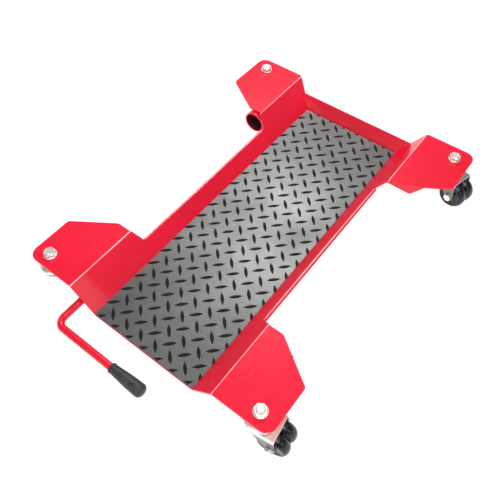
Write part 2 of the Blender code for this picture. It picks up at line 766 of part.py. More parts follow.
def make_casters():
    for corner, x, y in CORNERS:
        turn = Matrix.Rotation(math.radians(TRAIL_ANGLE[corner]), 4, "Z")
        swivel = Matrix.Translation(place(x, y, z=0.0)) @ turn
        make_stem(corner, swivel)
        make_stem_fasteners(corner, swivel)
        make_fork(corner, swivel)
        make_axle(corner, swivel)
        make_wheels(corner, swivel)


# ---------------------------------------------------------------- build
clear_scene()
PARTS = collection("parking_dolly")
CUTTERS = collection("cutters")

make_deck_pan()
make_end_rail()
make_deck_mat()
plain_gusset("gusset_near_right", 1, GUSSET_NEAR_Y + GUSSET_T / 2.0)
plain_gusset("gusset_far_right", 1, GUSSET_FAR_RIGHT_Y)
plain_gusset("gusset_far_left", -1, GUSSET_FAR_LEFT_Y)
shaft_gusset("gusset_near_left", GUSSET_NEAR_Y + GUSSET_T / 2.0, GUSSET_TOP_X, gusset_knee())
shaft_gusset("lever_bracket", BRACKET_NEAR_Y + GUSSET_T / 2.0, BRACKET_TOP_X, [])
make_socket_tube()
make_lever()
make_lock_foot()
make_casters()
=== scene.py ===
"""Looks of the motorcycle parking dolly: detailed pieces, materials, light and camera."""
import json
import math

import bmesh
import bpy
from mathutils import Matrix, Vector


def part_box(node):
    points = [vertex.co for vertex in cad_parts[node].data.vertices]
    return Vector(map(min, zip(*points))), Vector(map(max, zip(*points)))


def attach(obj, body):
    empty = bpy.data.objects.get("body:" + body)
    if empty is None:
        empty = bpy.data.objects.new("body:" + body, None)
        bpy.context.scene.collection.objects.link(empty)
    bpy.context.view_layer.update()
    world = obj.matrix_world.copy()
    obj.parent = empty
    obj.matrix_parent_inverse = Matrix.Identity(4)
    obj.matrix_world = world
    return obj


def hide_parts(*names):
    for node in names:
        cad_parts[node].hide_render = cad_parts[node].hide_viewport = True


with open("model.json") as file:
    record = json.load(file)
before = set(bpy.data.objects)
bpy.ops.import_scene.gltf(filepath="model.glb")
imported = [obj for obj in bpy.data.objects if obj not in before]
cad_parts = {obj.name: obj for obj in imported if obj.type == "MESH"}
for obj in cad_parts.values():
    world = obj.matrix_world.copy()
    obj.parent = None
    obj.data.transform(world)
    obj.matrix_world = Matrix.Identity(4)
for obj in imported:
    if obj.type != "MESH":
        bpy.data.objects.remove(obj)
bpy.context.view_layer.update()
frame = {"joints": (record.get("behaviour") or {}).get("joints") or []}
JOINTS = {joint["name"]: joint for joint in frame["joints"]}

# ---------------- places taken from the frame
MAT_LOW, MAT_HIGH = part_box("deck_mat")
PAN_LOW, PAN_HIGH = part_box("deck_pan")
TUBE_LOW, TUBE_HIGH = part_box("socket_tube")
GRIP_LOW, GRIP_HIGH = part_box("lever_grip")
FOOT_LOW, FOOT_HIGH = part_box("lock_foot")
PAD_LOW, PAD_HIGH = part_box("foot_pad")
COLLAR_LOW, COLLAR_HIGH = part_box("lever_collar")
DECK_Z = MAT_HIGH.z
ENTRY_Y = PAN_LOW.y
CORNERS = ("near_left", "near_right", "far_left", "far_right")
PLATES = tuple("gusset_" + corner for corner in CORNERS) + ("lever_bracket",)
PIVOT = Vector(JOINTS["lock_lever"]["pos_m"])
TUBE_X = (TUBE_LOW.x + TUBE_HIGH.x) / 2.0

# ---------------- dimensions shared with the model
GAP = 0.0003
SHEET_T = 0.0035
WING_RISE = PAN_HIGH.z - DECK_Z
HEM_RISE = 0.0225
HEM_R = 0.0040
HEM_STEPS = 12
HEM_LEG = 0.008
FLOOR_RISE = MAT_LOW.z - DECK_Z - GAP
FLANK_LEAN = 0.8645
FLANK_X = 0.1068
FOOT_BEND_R = 0.003
WING_BEND_R = 0.007
BEND_STEPS = 6
WING_OUT_X = PAN_HIGH.x
WING_NOSE_X = 0.175
WING_SIDE_Y = 0.0885
NEAR_WING_Y = 0.1375
FAR_WING_Y = 0.510
FAR_WING_SIDE_Y = 0.555
FAR_EDGE_Y = PAN_HIGH.y - ENTRY_Y
DECK_FAR_Y = 0.6255
RAIL_NEAR_Y = 0.149
RAIL_FAR_Y = 0.493
WING_CORNER_R = 0.018
END_RAIL_FOOT_Y = 0.6209
END_RAIL_LEAN = 0.55
END_RAIL_RISE = 0.0245
END_RAIL_HEEL = 0.0005
END_RAIL_CLEAR = 0.0010
GUSSET_T = 0.0035
STEM_R = 0.006
WHEEL_R = 0.0265
WHEEL_CROWN = 0.0042
AXLE_R = 0.004
FORK_T = 0.0025
FORK_BACK = 0.033
FORK_TOP_Z = 0.060
FORK_BEND_R = 0.0035
CROWN_R = 0.025
LEVER_R = 0.0065
LEVER_BEND_R = 0.016
BUSH_R = 0.0095
SHAFT_BORE_R = LEVER_R + GAP
M12_PITCH = 0.00175
M12_NUT_ACROSS = 0.018
M8_PITCH = 0.00125
M8_NUT_ACROSS = 0.013
CUT_TOLERANCE = 0.000001

FLANK_SLOPE = math.hypot(FLANK_LEAN, 1.0)
FLANK_ANGLE = math.atan2(1.0, FLANK_LEAN)
WING_UNDER = WING_RISE - SHEET_T
WING_FOLD_X = FLANK_X + FLANK_LEAN * WING_RISE
FLOOR_FOLD_X = FLANK_X + FLANK_LEAN * FLOOR_RISE


def place(x, y, rise):
    """World point: y from the deck's entry edge, rise from the tread surface."""
    return Vector((x, ENTRY_Y + y, DECK_Z + rise))


def configured(thing, **settings):
    for key, value in settings.items():
        setattr(thing, key, value)
    return thing


# ---------------- materials
class Look:
    """A procedural material: a Principled shader fed by short chains of texture nodes."""

    def __init__(self, name, roughness=0.4, metallic=0.0, coat=0.0, coat_roughness=0.1,
                 specular=0.5):
        self.material = bpy.data.materials.new(name)
        self.material.use_nodes = True
        self.tree = self.material.node_tree
        self.shader = self.tree.nodes["Principled BSDF"]
        self.fix(self.shader, **{"Roughness": roughness, "Metallic": metallic,
                                 "Coat Weight": coat, "Coat Roughness": coat_roughness,
                                 "Specular IOR Level": specular})
        self.coords = self.node("ShaderNodeTexCoord").outputs["Object"]

    def node(self, kind, **settings):
        return configured(self.tree.nodes.new(kind), **settings)

    @staticmethod
    def fix(made, **values):
        """Set input sockets by name."""
        for socket, value in values.items():
            made.inputs[socket].default_value = value

    def feed(self, source, target):
        self.tree.links.new(source, target)

    def noise(self, scale, detail=3.0, stretch=(1.0, 1.0, 1.0), roughness=0.55, turn=0.0):
        mapping = self.node("ShaderNodeMapping")
        self.fix(mapping, Scale=stretch, Rotation=(0.0, 0.0, turn))
        self.feed(self.coords, mapping.inputs["Vector"])
        texture = self.node("ShaderNodeTexNoise")
        self.fix(texture, Scale=scale, Detail=detail, Roughness=roughness)
        self.feed(mapping.outputs["Vector"], texture.inputs["Vector"])
        return texture.outputs["Fac"]

    def cells(self, scale):
        texture = self.node("ShaderNodeTexVoronoi")
        texture.inputs["Scale"].default_value = scale
        self.feed(self.coords, texture.inputs["Vector"])
        return texture.outputs["Distance"]

    def remap(self, source, low, high, to_low=0.0, to_high=1.0):
        made = self.node("ShaderNodeMapRange", clamp=True)
        self.fix(made, **{"From Min": low, "From Max": high, "To Min": to_low, "To Max": to_high})
        self.feed(source, made.inputs["Value"])
        return made.outputs["Result"]

    def blend(self, factor, first, second):
        """Colour mix; each colour is a triple or a socket."""
        made = self.node("ShaderNodeMix", data_type="RGBA")
        self.feed(factor, made.inputs["Factor"])
        for value, socket in ((first, made.inputs[6]), (second, made.inputs[7])):
            if isinstance(value, tuple):
                socket.default_value = (*value, 1.0)
            else:
                self.feed(value, socket)
        return made.outputs[2]

    def math(self, operation, first, second):
        made = self.node("ShaderNodeMath", operation=operation)
        for value, socket in ((first, made.inputs[0]), (second, made.inputs[1])):
            if isinstance(value, float):
                socket.default_value = value
            else:
                self.feed(value, socket)
        return made.outputs[0]

    def near(self, axis, place, reach, core=0.4):
        """1 on a coordinate (X counts on both sides), falling to 0 at a distance."""
        parts = self.node("ShaderNodeSeparateXYZ")
        self.feed(self.coords, parts.inputs[0])
        value = parts.outputs[axis]
        if axis == "X":
            value = self.math("ABSOLUTE", value, 0.0)
        away = self.math("ABSOLUTE", self.math("SUBTRACT", value, place), 0.0)
        return self.remap(away, reach * core, reach, 1.0, 0.0)

    def colour(self, source):
        self.feed(source, self.shader.inputs["Base Color"])

    def roughness(self, source):
        self.feed(source, self.shader.inputs["Roughness"])

    def two_tone(self, mask, tones, rough):
        """Two tones, each with its own roughness, told apart by a mask."""
        self.colour(self.blend(mask, *tones))
        self.roughness(self.remap(mask, 0.0, 1.0, *rough))

    def bumps(self, *layers):
        """Stack of (height socket, depth in metres)."""
        normal = None
        for height, depth in layers:
            bump = self.node("ShaderNodeBump")
            bump.inputs["Distance"].default_value = depth
            self.feed(height, bump.inputs["Height"])
            if normal is not None:
                self.feed(normal, bump.inputs["Normal"])
            normal = bump.outputs["Normal"]
        self.feed(normal, self.shader.inputs["Normal"])


def red_paint(name, crests=()):
    """Gloss powder coat: even red, faint orange peel, rubbed marks.

    crests lists painted highlights, near-white lines along the folds' crests, as
    (distance from the centreline, half width, middle of the line's run in Y, half the run).
    """
    look = Look(name, coat=0.5, coat_roughness=0.06, specular=0.25)
    drift = look.remap(look.noise(7.0, 2.0), 0.35, 0.65)
    red = look.blend(drift, (0.74, 0.003, 0.026), (0.82, 0.005, 0.036))
    rub = look.remap(look.noise(38.0, 6.0, (1.0, 0.25, 1.0)), 0.66, 0.78, 0.0, 0.30)
    red = look.blend(rub, red, (0.86, 0.10, 0.12))
    speck = look.remap(look.cells(170.0), 0.0, 0.055, 0.35, 0.0)
    red = look.blend(speck, red, (0.30, 0.01, 0.015))
    # painted highlight: paler, near-white paint along each crest, standing in for light caught by
    # the bend
    for across, half_width, middle, half_run in crests:
        line = look.near("X", across, half_width)
        run = look.near("Y", middle, half_run, 0.97)
        patchy = look.remap(look.noise(16.0, 3.0), 0.30, 0.58, 0.35, 0.95)
        wear_and_highlight = look.math("MULTIPLY", look.math("MULTIPLY", line, run), patchy)
        red = look.blend(wear_and_highlight, red, (0.95, 0.62, 0.66))
    look.colour(red)
    fine = look.noise(420.0, 2.0)
    look.roughness(look.math("ADD", look.remap(fine, 0.3, 0.7, 0.30, 0.40), rub))
    look.bumps((fine, 0.00012), (look.noise(60.0, 2.0), 0.0004))
    return look.material


def mat_rubber():
    """Satin grey tread sheet: cloudy tone, pressed grain, fine scratches."""
    look = Look("tread_sheet", specular=0.95)
    cloud = look.remap(look.noise(9.0, 5.0, roughness=0.6), 0.35, 0.68)
    tone = look.blend(cloud, (0.045, 0.046, 0.044), (0.085, 0.086, 0.081))
    scratch = look.remap(look.noise(30.0, 8.0, (1.0, 14.0, 1.0), 0.6, 0.5), 0.60, 0.72)
    tone = look.blend(look.math("MULTIPLY", scratch, 0.35), tone, (0.30, 0.30, 0.29))
    dirt = look.remap(look.noise(120.0, 6.0), 0.56, 0.70, 0.0, 0.6)
    look.colour(look.blend(dirt, tone, (0.055, 0.056, 0.055)))
    grain = look.noise(900.0, 3.0)
    rough = look.remap(cloud, 0.0, 1.0, 0.36, 0.26)
    look.roughness(look.math("ADD", rough, look.remap(grain, 0.3, 0.7, 0.0, 0.16)))
    look.bumps((grain, 0.00010), (look.noise(75.0, 4.0), 0.0005))
    return look.material


def lozenge_rubber():
    """Matt black tops of the raised lozenges, scuffed grey."""
    look = Look("tread_lozenge", specular=0.25)
    wear_and_highlight = look.remap(look.noise(260.0, 5.0), 0.52, 0.72)
    look.two_tone(wear_and_highlight, ((0.004, 0.004, 0.004), (0.014, 0.014, 0.014)), (0.68, 0.80))
    look.bumps((look.noise(1100.0, 3.0), 0.00008),)
    return look.material


def zinc(name, tone, rough_low, rough_high, darker_below=None):
    """Zinc plate: crystalline tone, yellowish drift, drawn scratches.

    Below a given height the colour turns a darker grey.
    """
    look = Look(name, metallic=1.0)
    drift = look.remap(look.noise(45.0, 3.0), 0.35, 0.65)
    warm = (tone[0], tone[1] * 0.985, tone[2] * 0.93)
    plated = look.blend(drift, tone, warm)
    spots = look.remap(look.noise(300.0, 5.0), 0.60, 0.74, 0.0, 0.5)
    plated = look.blend(spots, plated, tuple(0.62 * part for part in tone))
    if darker_below is not None:
        depth = look.near("Z", 0.0, darker_below, 0.9)
        plated = look.blend(depth, plated, (0.22, 0.23, 0.20))
    look.colour(plated)
    drawn = look.noise(240.0, 4.0, (1.0, 9.0, 9.0))
    look.roughness(look.remap(drawn, 0.3, 0.7, rough_low, rough_high))
    look.bumps((drawn, 0.00006), (look.noise(90.0, 2.0), 0.00015))
    return look.material


def wheel_plastic():
    """Black polyamide: smooth tread with turning marks and a little floor dust."""
    look = Look("wheel_polyamide")
    dust = look.remap(look.noise(180.0, 7.0), 0.55, 0.75)
    look.colour(look.blend(dust, (0.0035, 0.0035, 0.004), (0.014, 0.014, 0.014)))
    rings = look.noise(60.0, 2.0, (1.0, 1.0, 30.0))
    rough = look.remap(dust, 0.0, 1.0, 0.16, 0.30)
    look.roughness(look.math("ADD", rough, look.remap(rings, 0.3, 0.7, 0.0, 0.08)))
    look.bumps((rings, 0.00008), (look.noise(700.0, 3.0), 0.00005))
    return look.material


def grip_plastic():
    """Dipped soft plastic with a fine pebble."""
    look = Look("grip_plastic")
    haze = look.remap(look.noise(55.0, 5.0), 0.40, 0.70)
    look.two_tone(haze, ((0.018, 0.018, 0.019), (0.040, 0.040, 0.042)), (0.40, 0.55))
    look.bumps((look.cells(950.0), 0.00018), (look.noise(40.0, 2.0), 0.0004))
    return look.material


def pad_rubber():
    """Dull black rubber, chalky where it met the floor."""
    look = Look("pad_rubber")
    chalk = look.remap(look.noise(160.0, 6.0), 0.50, 0.75)
    look.two_tone(chalk, ((0.012, 0.012, 0.012), (0.060, 0.058, 0.055)), (0.65, 0.85))
    look.bumps((look.noise(600.0, 4.0), 0.00015),)
    return look.material


def bronze():
    """Sintered bronze, porous and oiled."""
    look = Look("sintered_bronze", metallic=1.0)
    pores = look.remap(look.noise(1400.0, 3.0), 0.58, 0.66)
    look.two_tone(pores, ((0.46, 0.29, 0.13), (0.16, 0.09, 0.04)), (0.32, 0.60))
    look.bumps((pores, 0.00005),)
    return look.material


def bore_painted_shade():
    """Inside of the socket tube: painted shade, a very dark red where little light gets in."""
    look = Look("bore_painted_shade")
    shade_mottle = look.remap(look.noise(90.0, 4.0), 0.40, 0.62)
    look.two_tone(shade_mottle, ((0.10, 0.004, 0.010), (0.030, 0.004, 0.006)), (0.55, 0.75))
    look.bumps((look.noise(500.0, 3.0), 0.00012),)
    return look.material


def grease():
    """Dark grease film over a bearing's race and balls."""
    look = Look("bearing_grease", metallic=0.4)
    film = look.remap(look.noise(220.0, 4.0), 0.40, 0.65)
    look.two_tone(film, ((0.030, 0.024, 0.016), (0.16, 0.15, 0.13)), (0.22, 0.45))
    look.bumps((film, 0.0002),)
    return look.material


RED = red_paint("red_powder_coat")
HEM_CREST_X = FLANK_X + FLANK_LEAN * HEM_RISE + 0.0036
RAIL_MIDDLE_Y = ENTRY_Y + (RAIL_NEAR_Y + RAIL_FAR_Y) / 2.0
# painted highlights along the wing folds and along the crests of the rail hems
SHEET_RED = red_paint("red_sheet", (
    (WING_FOLD_X, 0.0011, 0.0, 1.0),
    (HEM_CREST_X, 0.0008, RAIL_MIDDLE_Y, (RAIL_FAR_Y - RAIL_NEAR_Y) / 2.0),
))
MAT = mat_rubber()
LOZENGE = lozenge_rubber()
FORK_ZINC = zinc("fork_zinc", (0.84, 0.83, 0.80), 0.30, 0.44, FORK_TOP_Z - 0.001)
BRIGHT_ZINC = zinc("bright_zinc", (0.93, 0.92, 0.90), 0.34, 0.46)
WHEEL = wheel_plastic()
BORE = bore_painted_shade()
GRIP = grip_plastic()
PAD = pad_rubber()
BRONZE = bronze()
GREASE = grease()


# ---------------- mesh helpers
UPRIGHT = Matrix.Rotation(math.radians(90.0), 4, "X")


def add_object(name, data):
    thing = bpy.data.objects.new(name, data)
    bpy.context.scene.collection.objects.link(thing)
    return thing


def mesh_from(name, shape):
    mesh = bpy.data.meshes.new(name)
    shape.to_mesh(mesh)
    shape.free()
    return mesh


def evaluated_mesh(thing):
    """Mesh of a curve, or of an object with its modifiers applied."""
    bpy.context.view_layer.update()
    graph = bpy.context.evaluated_depsgraph_get()
    return bpy.data.meshes.new_from_object(thing.evaluated_get(graph))


def piece(name, shape, material, matrix=Matrix(), sharp=32.0):
    """Object from a bmesh, shaded smooth but for corners sharper than an angle."""
    bmesh.ops.recalc_face_normals(shape, faces=shape.faces[:])
    mesh = mesh_from(name, shape)
    mesh.shade_smooth()
    mesh.set_sharp_from_angle(angle=math.radians(sharp))
    mesh.materials.append(material)
    thing = add_object(name, mesh)
    thing.matrix_world = matrix
    return thing


def own(thing, body, slot, *nodes):
    """Say which body a piece rides on, and the CAD nodes it stands for; the slot argument is not
    used.
    """
    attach(thing, body)
    if nodes:
        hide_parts(*nodes)
    return thing


def soften(thing, width, segments=2, angle=35.0):
    """Rounded edges whose flat faces stay flat to the eye."""
    configured(thing.modifiers.new("Edges", "BEVEL"), width=width, segments=segments,
               limit_method="ANGLE", angle_limit=math.radians(angle), miter_outer="MITER_ARC")
    configured(thing.modifiers.new("Flat faces", "WEIGHTED_NORMAL"), keep_sharp=True, weight=80)
    return thing


def arc(centre, radius, start, end, steps):
    """Points of an arc in the plane; angles in degrees."""
    points = []
    for step in range(steps + 1):
        angle = math.radians(start + (end - start) * step / steps)
        points.append((centre[0] + radius * math.cos(angle), centre[1] + radius * math.sin(angle)))
    return points


def rounded(corners, steps=8):
    """Outline with each corner (x, y, radius) turned into an arc."""
    outline = []
    for index, (x, y, radius) in enumerate(corners):
        here = Vector((x, y))
        if radius == 0.0:
            outline.append((x, y))
            continue
        before = (Vector(corners[index - 1][:2]) - here).normalized()
        after = (Vector(corners[(index + 1) % len(corners)][:2]) - here).normalized()
        half = before.angle(after) / 2.0
        middle = here + (before + after).normalized() * (radius / math.sin(half))
        first = here + before * (radius / math.tan(half)) - middle
        turn = first.angle_signed(here + after * (radius / math.tan(half)) - middle)
        for step in range(steps + 1):
            spoke = first.copy()
            spoke.rotate(Matrix.Rotation(-turn * step / steps, 2))
            outline.append(tuple(middle + spoke))
    return outline


def around(radius, angle, height):
    """Point at an angle about Z."""
    return radius * math.cos(angle), radius * math.sin(angle), height


def join_rings(shape, rings):
    """Faces between neighbouring rings; a ring on the axis is one point, repeated."""
    for upper, lower in zip(rings, rings[1:]):
        for side in range(len(upper)):
            after = (side + 1) % len(upper)
            corners = [upper[side], lower[side], lower[after], upper[after]]
            unique = list(dict.fromkeys(corners))
            if len(unique) > 2:
                shape.faces.new(unique)


def skin(shape, rings):
    """Closed body over stacked rings."""
    for first, second in zip(rings, rings[1:]):
        for step in range(len(first)):
            after = (step + 1) % len(first)
            shape.faces.new((first[step], first[after], second[after], second[step]))
    shape.faces.new(rings[-1])
    shape.faces.new(rings[0][::-1])


def lathe(profile, sides=64, closed=True):
    """bmesh of a profile of (radius, height) points turned about Z."""
    shape = bmesh.new()
    rings = []
    for radius, height in profile:
        if radius == 0.0:
            rings.append([shape.verts.new((0.0, 0.0, height))] * sides)
        else:
            rings.append([shape.verts.new(around(radius, math.tau * side / sides, height))
                          for side in range(sides)])
    if closed:
        rings.append(rings[0])
    join_rings(shape, rings)
    return shape


def prism(outline, low, high, holes=()):
    """bmesh of an outline given thickness along Z, with round holes (x, y, radius)."""
    shape = bmesh.new()
    edges = []
    loops = [outline] + [arc((x, y), radius, 0.0, 360.0, 32)[:-1] for x, y, radius in holes]
    for loop in loops:
        verts = [shape.verts.new((x, y, low)) for x, y in loop]
        edges += [shape.edges.new((verts[i - 1], verts[i])) for i in range(len(verts))]
    flat = bmesh.ops.triangle_fill(shape, edges=edges, use_beauty=True, use_dissolve=False)
    faces = [part for part in flat["geom"] if isinstance(part, bmesh.types.BMFace)]
    raised = bmesh.ops.extrude_face_region(shape, geom=faces, use_keep_orig=True)
    top = [part for part in raised["geom"] if isinstance(part, bmesh.types.BMVert)]
    bmesh.ops.translate(shape, verts=top, vec=(0.0, 0.0, high - low))
    bmesh.ops.dissolve_limit(shape, angle_limit=0.01, verts=shape.verts[:], edges=shape.edges[:])
    return shape


def thread(radius, low, high, pitch, depth=0.0006):
    """Profile points, top to bottom, of a thread's ridges."""
    turns = max(1, int(round((high - low) / pitch)))
    step = (high - low) / turns
    points = []
    for turn in range(turns):
        top = high - turn * step
        points += [(radius - depth, top), (radius, top - 0.35 * step), (radius, top - 0.55 * step)]
    points.append((radius - depth, low))
    return points


def hexagonal(across, low, high, hole, both_ends=True, sides=96):
    """bmesh of a nut or bolt head: a hexagon whose corners are cut by a shallow cone."""
    apothem = across / 2.0
    face_r = apothem * 0.955           # flat face inside the cut corners
    cone = math.tan(math.radians(30.0))
    lip = hole + 0.0007
    lip_depth = 0.0006
    shape = bmesh.new()

    def ring(radius_of, height_of):
        made = []
        for side in range(sides):
            angle = math.tau * side / sides
            radius = radius_of(angle)
            made.append(shape.verts.new(around(radius, angle, height_of(radius))))
        return made

    def hex_r(angle):
        within = (angle + math.pi / 6.0) % (math.pi / 3.0) - math.pi / 6.0
        return apothem / math.cos(within)

    rings = [
        ring(lambda angle: face_r, lambda radius: high),
        ring(hex_r, lambda radius: high - (radius - face_r) * cone),
        ring(hex_r, lambda radius: low + (radius - face_r) * cone if both_ends else low),
    ]
    if both_ends:
        rings.append(ring(lambda angle: face_r, lambda radius: low))
    if hole:
        rings.append(ring(lambda angle: lip, lambda radius: low))
        rings.append(ring(lambda angle: hole, lambda radius: low + lip_depth))
        rings.append(ring(lambda angle: hole, lambda radius: high - lip_depth))
        rings.append(ring(lambda angle: lip, lambda radius: high))
        rings.append(rings[0])
    else:
        shape.faces.new(rings[0])
        shape.faces.new(rings[-1])
    join_rings(shape, rings)
    return shape


def cut(shape, spot, normal, **options):
    """Cut a whole mesh along a plane."""
    everything = shape.verts[:] + shape.edges[:] + shape.faces[:]
    return bmesh.ops.bisect_plane(shape, geom=everything, dist=CUT_TOLERANCE, plane_co=spot,
                                  plane_no=normal, **options)


def split_sheet(shape, lines, axis):
    """Cut a flat sheet along lines across an axis, so that it can bend there."""
    normal = Vector([float(index == axis) for index in range(3)])
    for line in lines:
        cut(shape, normal * line, normal)


def sheet_metal(thing, thickness, mirror_axis):
    """Mirror a half sheet and give it its thickness below the modelled face."""
    configured(thing.modifiers.new("Other half", "MIRROR"), use_clip=True,
               use_axis=tuple(axis == mirror_axis for axis in range(3)), merge_threshold=0.00005)
    configured(thing.modifiers.new("Sheet", "SOLIDIFY"), thickness=thickness, offset=-1.0,
               use_even_offset=True, use_quality_normals=True)


def drill(thing, name, radius, length, matrix):
    """Cut a round hole; the drill itself is removed once the piece is made solid."""
    shape = bmesh.new()
    bmesh.ops.create_cone(shape, cap_ends=True, segments=48, radius1=radius, radius2=radius,
                          depth=length)
    tool = add_object(name, mesh_from(name, shape))
    tool.matrix_world = matrix
    configured(thing.modifiers.new(name, "BOOLEAN"), operation="DIFFERENCE", solver="EXACT",
               object=tool)
    return tool


def settle(thing, tools=()):
    """Replace a piece's mesh by its evaluated mesh, then drop its modifiers and tools."""
    old = thing.data
    thing.data = evaluated_mesh(thing)
    thing.modifiers.clear()
    bpy.data.meshes.remove(old)
    for tool in tools:
        bpy.data.objects.remove(tool)


# ---------------- deck sheet
FOOT_TANGENT = FOOT_BEND_R * math.tan(FLANK_ANGLE / 2.0)
WING_TANGENT = WING_BEND_R * math.tan(FLANK_ANGLE / 2.0)
FLANK_LEN = (WING_RISE - FLOOR_RISE) * FLANK_SLOPE
U_FOOT = FLOOR_FOLD_X - FOOT_TANGENT
U_FLANK = U_FOOT + FOOT_BEND_R * FLANK_ANGLE
U_SHOULDER = U_FLANK + FLANK_LEN - FOOT_TANGENT - WING_TANGENT
U_WING = U_SHOULDER + WING_BEND_R * FLANK_ANGLE
U_HEM = U_FLANK + (HEM_RISE - FLOOR_RISE) * FLANK_SLOPE - FOOT_TANGENT
U_HEM_LEG = U_HEM + math.pi * HEM_R
U_HEM_END = U_HEM_LEG + HEM_LEG


def blank_u_wing(x):
    """Distance across the flat blank of a point x on the wing."""
    return U_WING + x - (WING_FOLD_X + WING_TANGENT)


def fold(u):
    """x and rise of the sheet's upper face at distance u across the flat blank."""
    if u <= U_FOOT:
        return u, FLOOR_RISE
    if u <= U_FLANK:
        angle = (u - U_FOOT) / FOOT_BEND_R
        drop = FOOT_BEND_R * (1.0 - math.cos(angle))
        return U_FOOT + FOOT_BEND_R * math.sin(angle), FLOOR_RISE + drop
    if u <= U_SHOULDER:
        rise = FLOOR_RISE + (u - U_FLANK + FOOT_TANGENT) / FLANK_SLOPE
        return FLANK_X + FLANK_LEAN * rise, rise
    wing_x = WING_FOLD_X + WING_TANGENT
    if u <= U_WING:
        angle = (U_WING - u) / WING_BEND_R
        drop = WING_BEND_R * (1.0 - math.cos(angle))
        return wing_x - WING_BEND_R * math.sin(angle), WING_RISE - drop
    return wing_x + (u - U_WING), WING_RISE


def fold_hem(u):
    """x and rise of a rail's hem: half a turn outward, then back down beside the rail."""
    up = Vector((FLANK_LEAN, 1.0)) / FLANK_SLOPE
    outward = Vector((up.y, -up.x))
    start = Vector((FLANK_X + FLANK_LEAN * HEM_RISE, HEM_RISE))
    angle = min((u - U_HEM) / HEM_R, math.pi)
    along = HEM_R * math.sin(angle) - max(u - U_HEM_LEG, 0.0)
    return tuple(start + up * along + outward * (HEM_R * (1.0 - math.cos(angle))))


def weigh_edges(thing, angle, skip):
    """Mark the edges to round: the sharp ones with no end where skip(point) is true."""
    shape = bmesh.new()
    shape.from_mesh(thing.data)
    layer = shape.edges.layers.float.new("bevel_weight_edge")
    for edge in shape.edges:
        sharp = len(edge.link_faces) == 2 and edge.calc_face_angle() > math.radians(angle)
        if sharp and not any(skip(vert.co) for vert in edge.verts):
            edge[layer] = 1.0
    shape.to_mesh(thing.data)
    shape.free()


def on_hem(point):
    """Whether a point of the deck sheet belongs to a rail's rolled edge."""
    inside = RAIL_NEAR_Y - 0.001 < point.y - ENTRY_Y < RAIL_FAR_Y + 0.001
    return inside and point.z > DECK_Z + 0.006


def stem_place(corner):
    return Vector(JOINTS["swivel_" + corner]["pos_m"])


def make_deck_sheet():
    u_out = blank_u_wing(WING_OUT_X)
    u_nose = blank_u_wing(WING_NOSE_X)
    u_fold = blank_u_wing(WING_FOLD_X + 0.004)
    outline = rounded([
        (0.0, 0.0, 0.0),
        (u_out, 0.0, WING_CORNER_R),
        (u_out, WING_SIDE_Y, 0.006),
        (u_nose, NEAR_WING_Y, 0.010),
        (u_fold, NEAR_WING_Y, 0.004),
        (U_HEM, RAIL_NEAR_Y, 0.0),
        (U_HEM_END, RAIL_NEAR_Y, 0.0),
        (U_HEM_END, RAIL_FAR_Y, 0.0),
        (U_HEM, RAIL_FAR_Y, 0.0),
        (u_fold, FAR_WING_Y, 0.004),
        (u_nose, FAR_WING_Y, 0.010),
        (u_out, FAR_WING_SIDE_Y, 0.006),
        (u_out, FAR_EDGE_Y, WING_CORNER_R),
        (u_fold, FAR_EDGE_Y, 0.0),
        (U_FOOT, DECK_FAR_Y, 0.0),
        (0.0, DECK_FAR_Y, 0.0),
    ])
    shape = bmesh.new()
    shape.faces.new([shape.verts.new((u, y, 0.0)) for u, y in outline])
    bends = []
    folds = (
        (U_FOOT, U_FLANK, BEND_STEPS),
        (U_HEM, U_HEM_LEG, HEM_STEPS),
        (U_SHOULDER, U_WING, BEND_STEPS),
    )
    for start, end, steps in folds:
        bends += [start + (end - start) * step / steps for step in range(steps + 1)]
    split_sheet(shape, bends, 0)
    for vert in shape.verts:
        u, y = vert.co.x, vert.co.y
        on_rail = RAIL_NEAR_Y - GAP < y < RAIL_FAR_Y + GAP
        x, rise = fold_hem(u) if on_rail and u > U_HEM else fold(u)
        vert.co = place(x, y, rise)
    pan = piece("deck_sheet", shape, SHEET_RED)
    sheet_metal(pan, SHEET_T, 0)
    tools = []
    for corner in CORNERS:
        spot = stem_place(corner)
        hole = Matrix.Translation((spot.x, spot.y, PAN_HIGH.z))
        tools.append(drill(pan, "stem_drill_" + corner, STEM_R + 0.0008, 0.02, hole))
    settle(pan, tools)
    weigh_edges(pan, 40.0, on_hem)
    soften(pan, 0.0008, 2, 40.0)
    pan.modifiers["Edges"].limit_method = "WEIGHT"
    own(pan, "deck", "red_paint", "deck_pan")


def flank_outer_x(rise):
    """x just outside a flank's outer face, where plates are welded to it."""
    return FLANK_X + FLANK_LEAN * rise + SHEET_T * FLANK_SLOPE + GAP * FLANK_SLOPE


END_SLOPE = math.hypot(END_RAIL_LEAN, 1.0)
END_BACK_DROP = SHEET_T * END_RAIL_LEAN / END_SLOPE
END_FOOT_RISE = FLOOR_RISE + GAP + END_BACK_DROP


def end_rail_y(rise):
    """Y of the stop rail's inner face, from the entry edge."""
    return END_RAIL_FOOT_Y + END_RAIL_LEAN * (rise - END_FOOT_RISE)


def end_rail_point(side, rise):
    """Point on the end of the stop rail's inner face."""
    return place(side * (FLANK_X + FLANK_LEAN * rise - END_RAIL_CLEAR), end_rail_y(rise), rise)


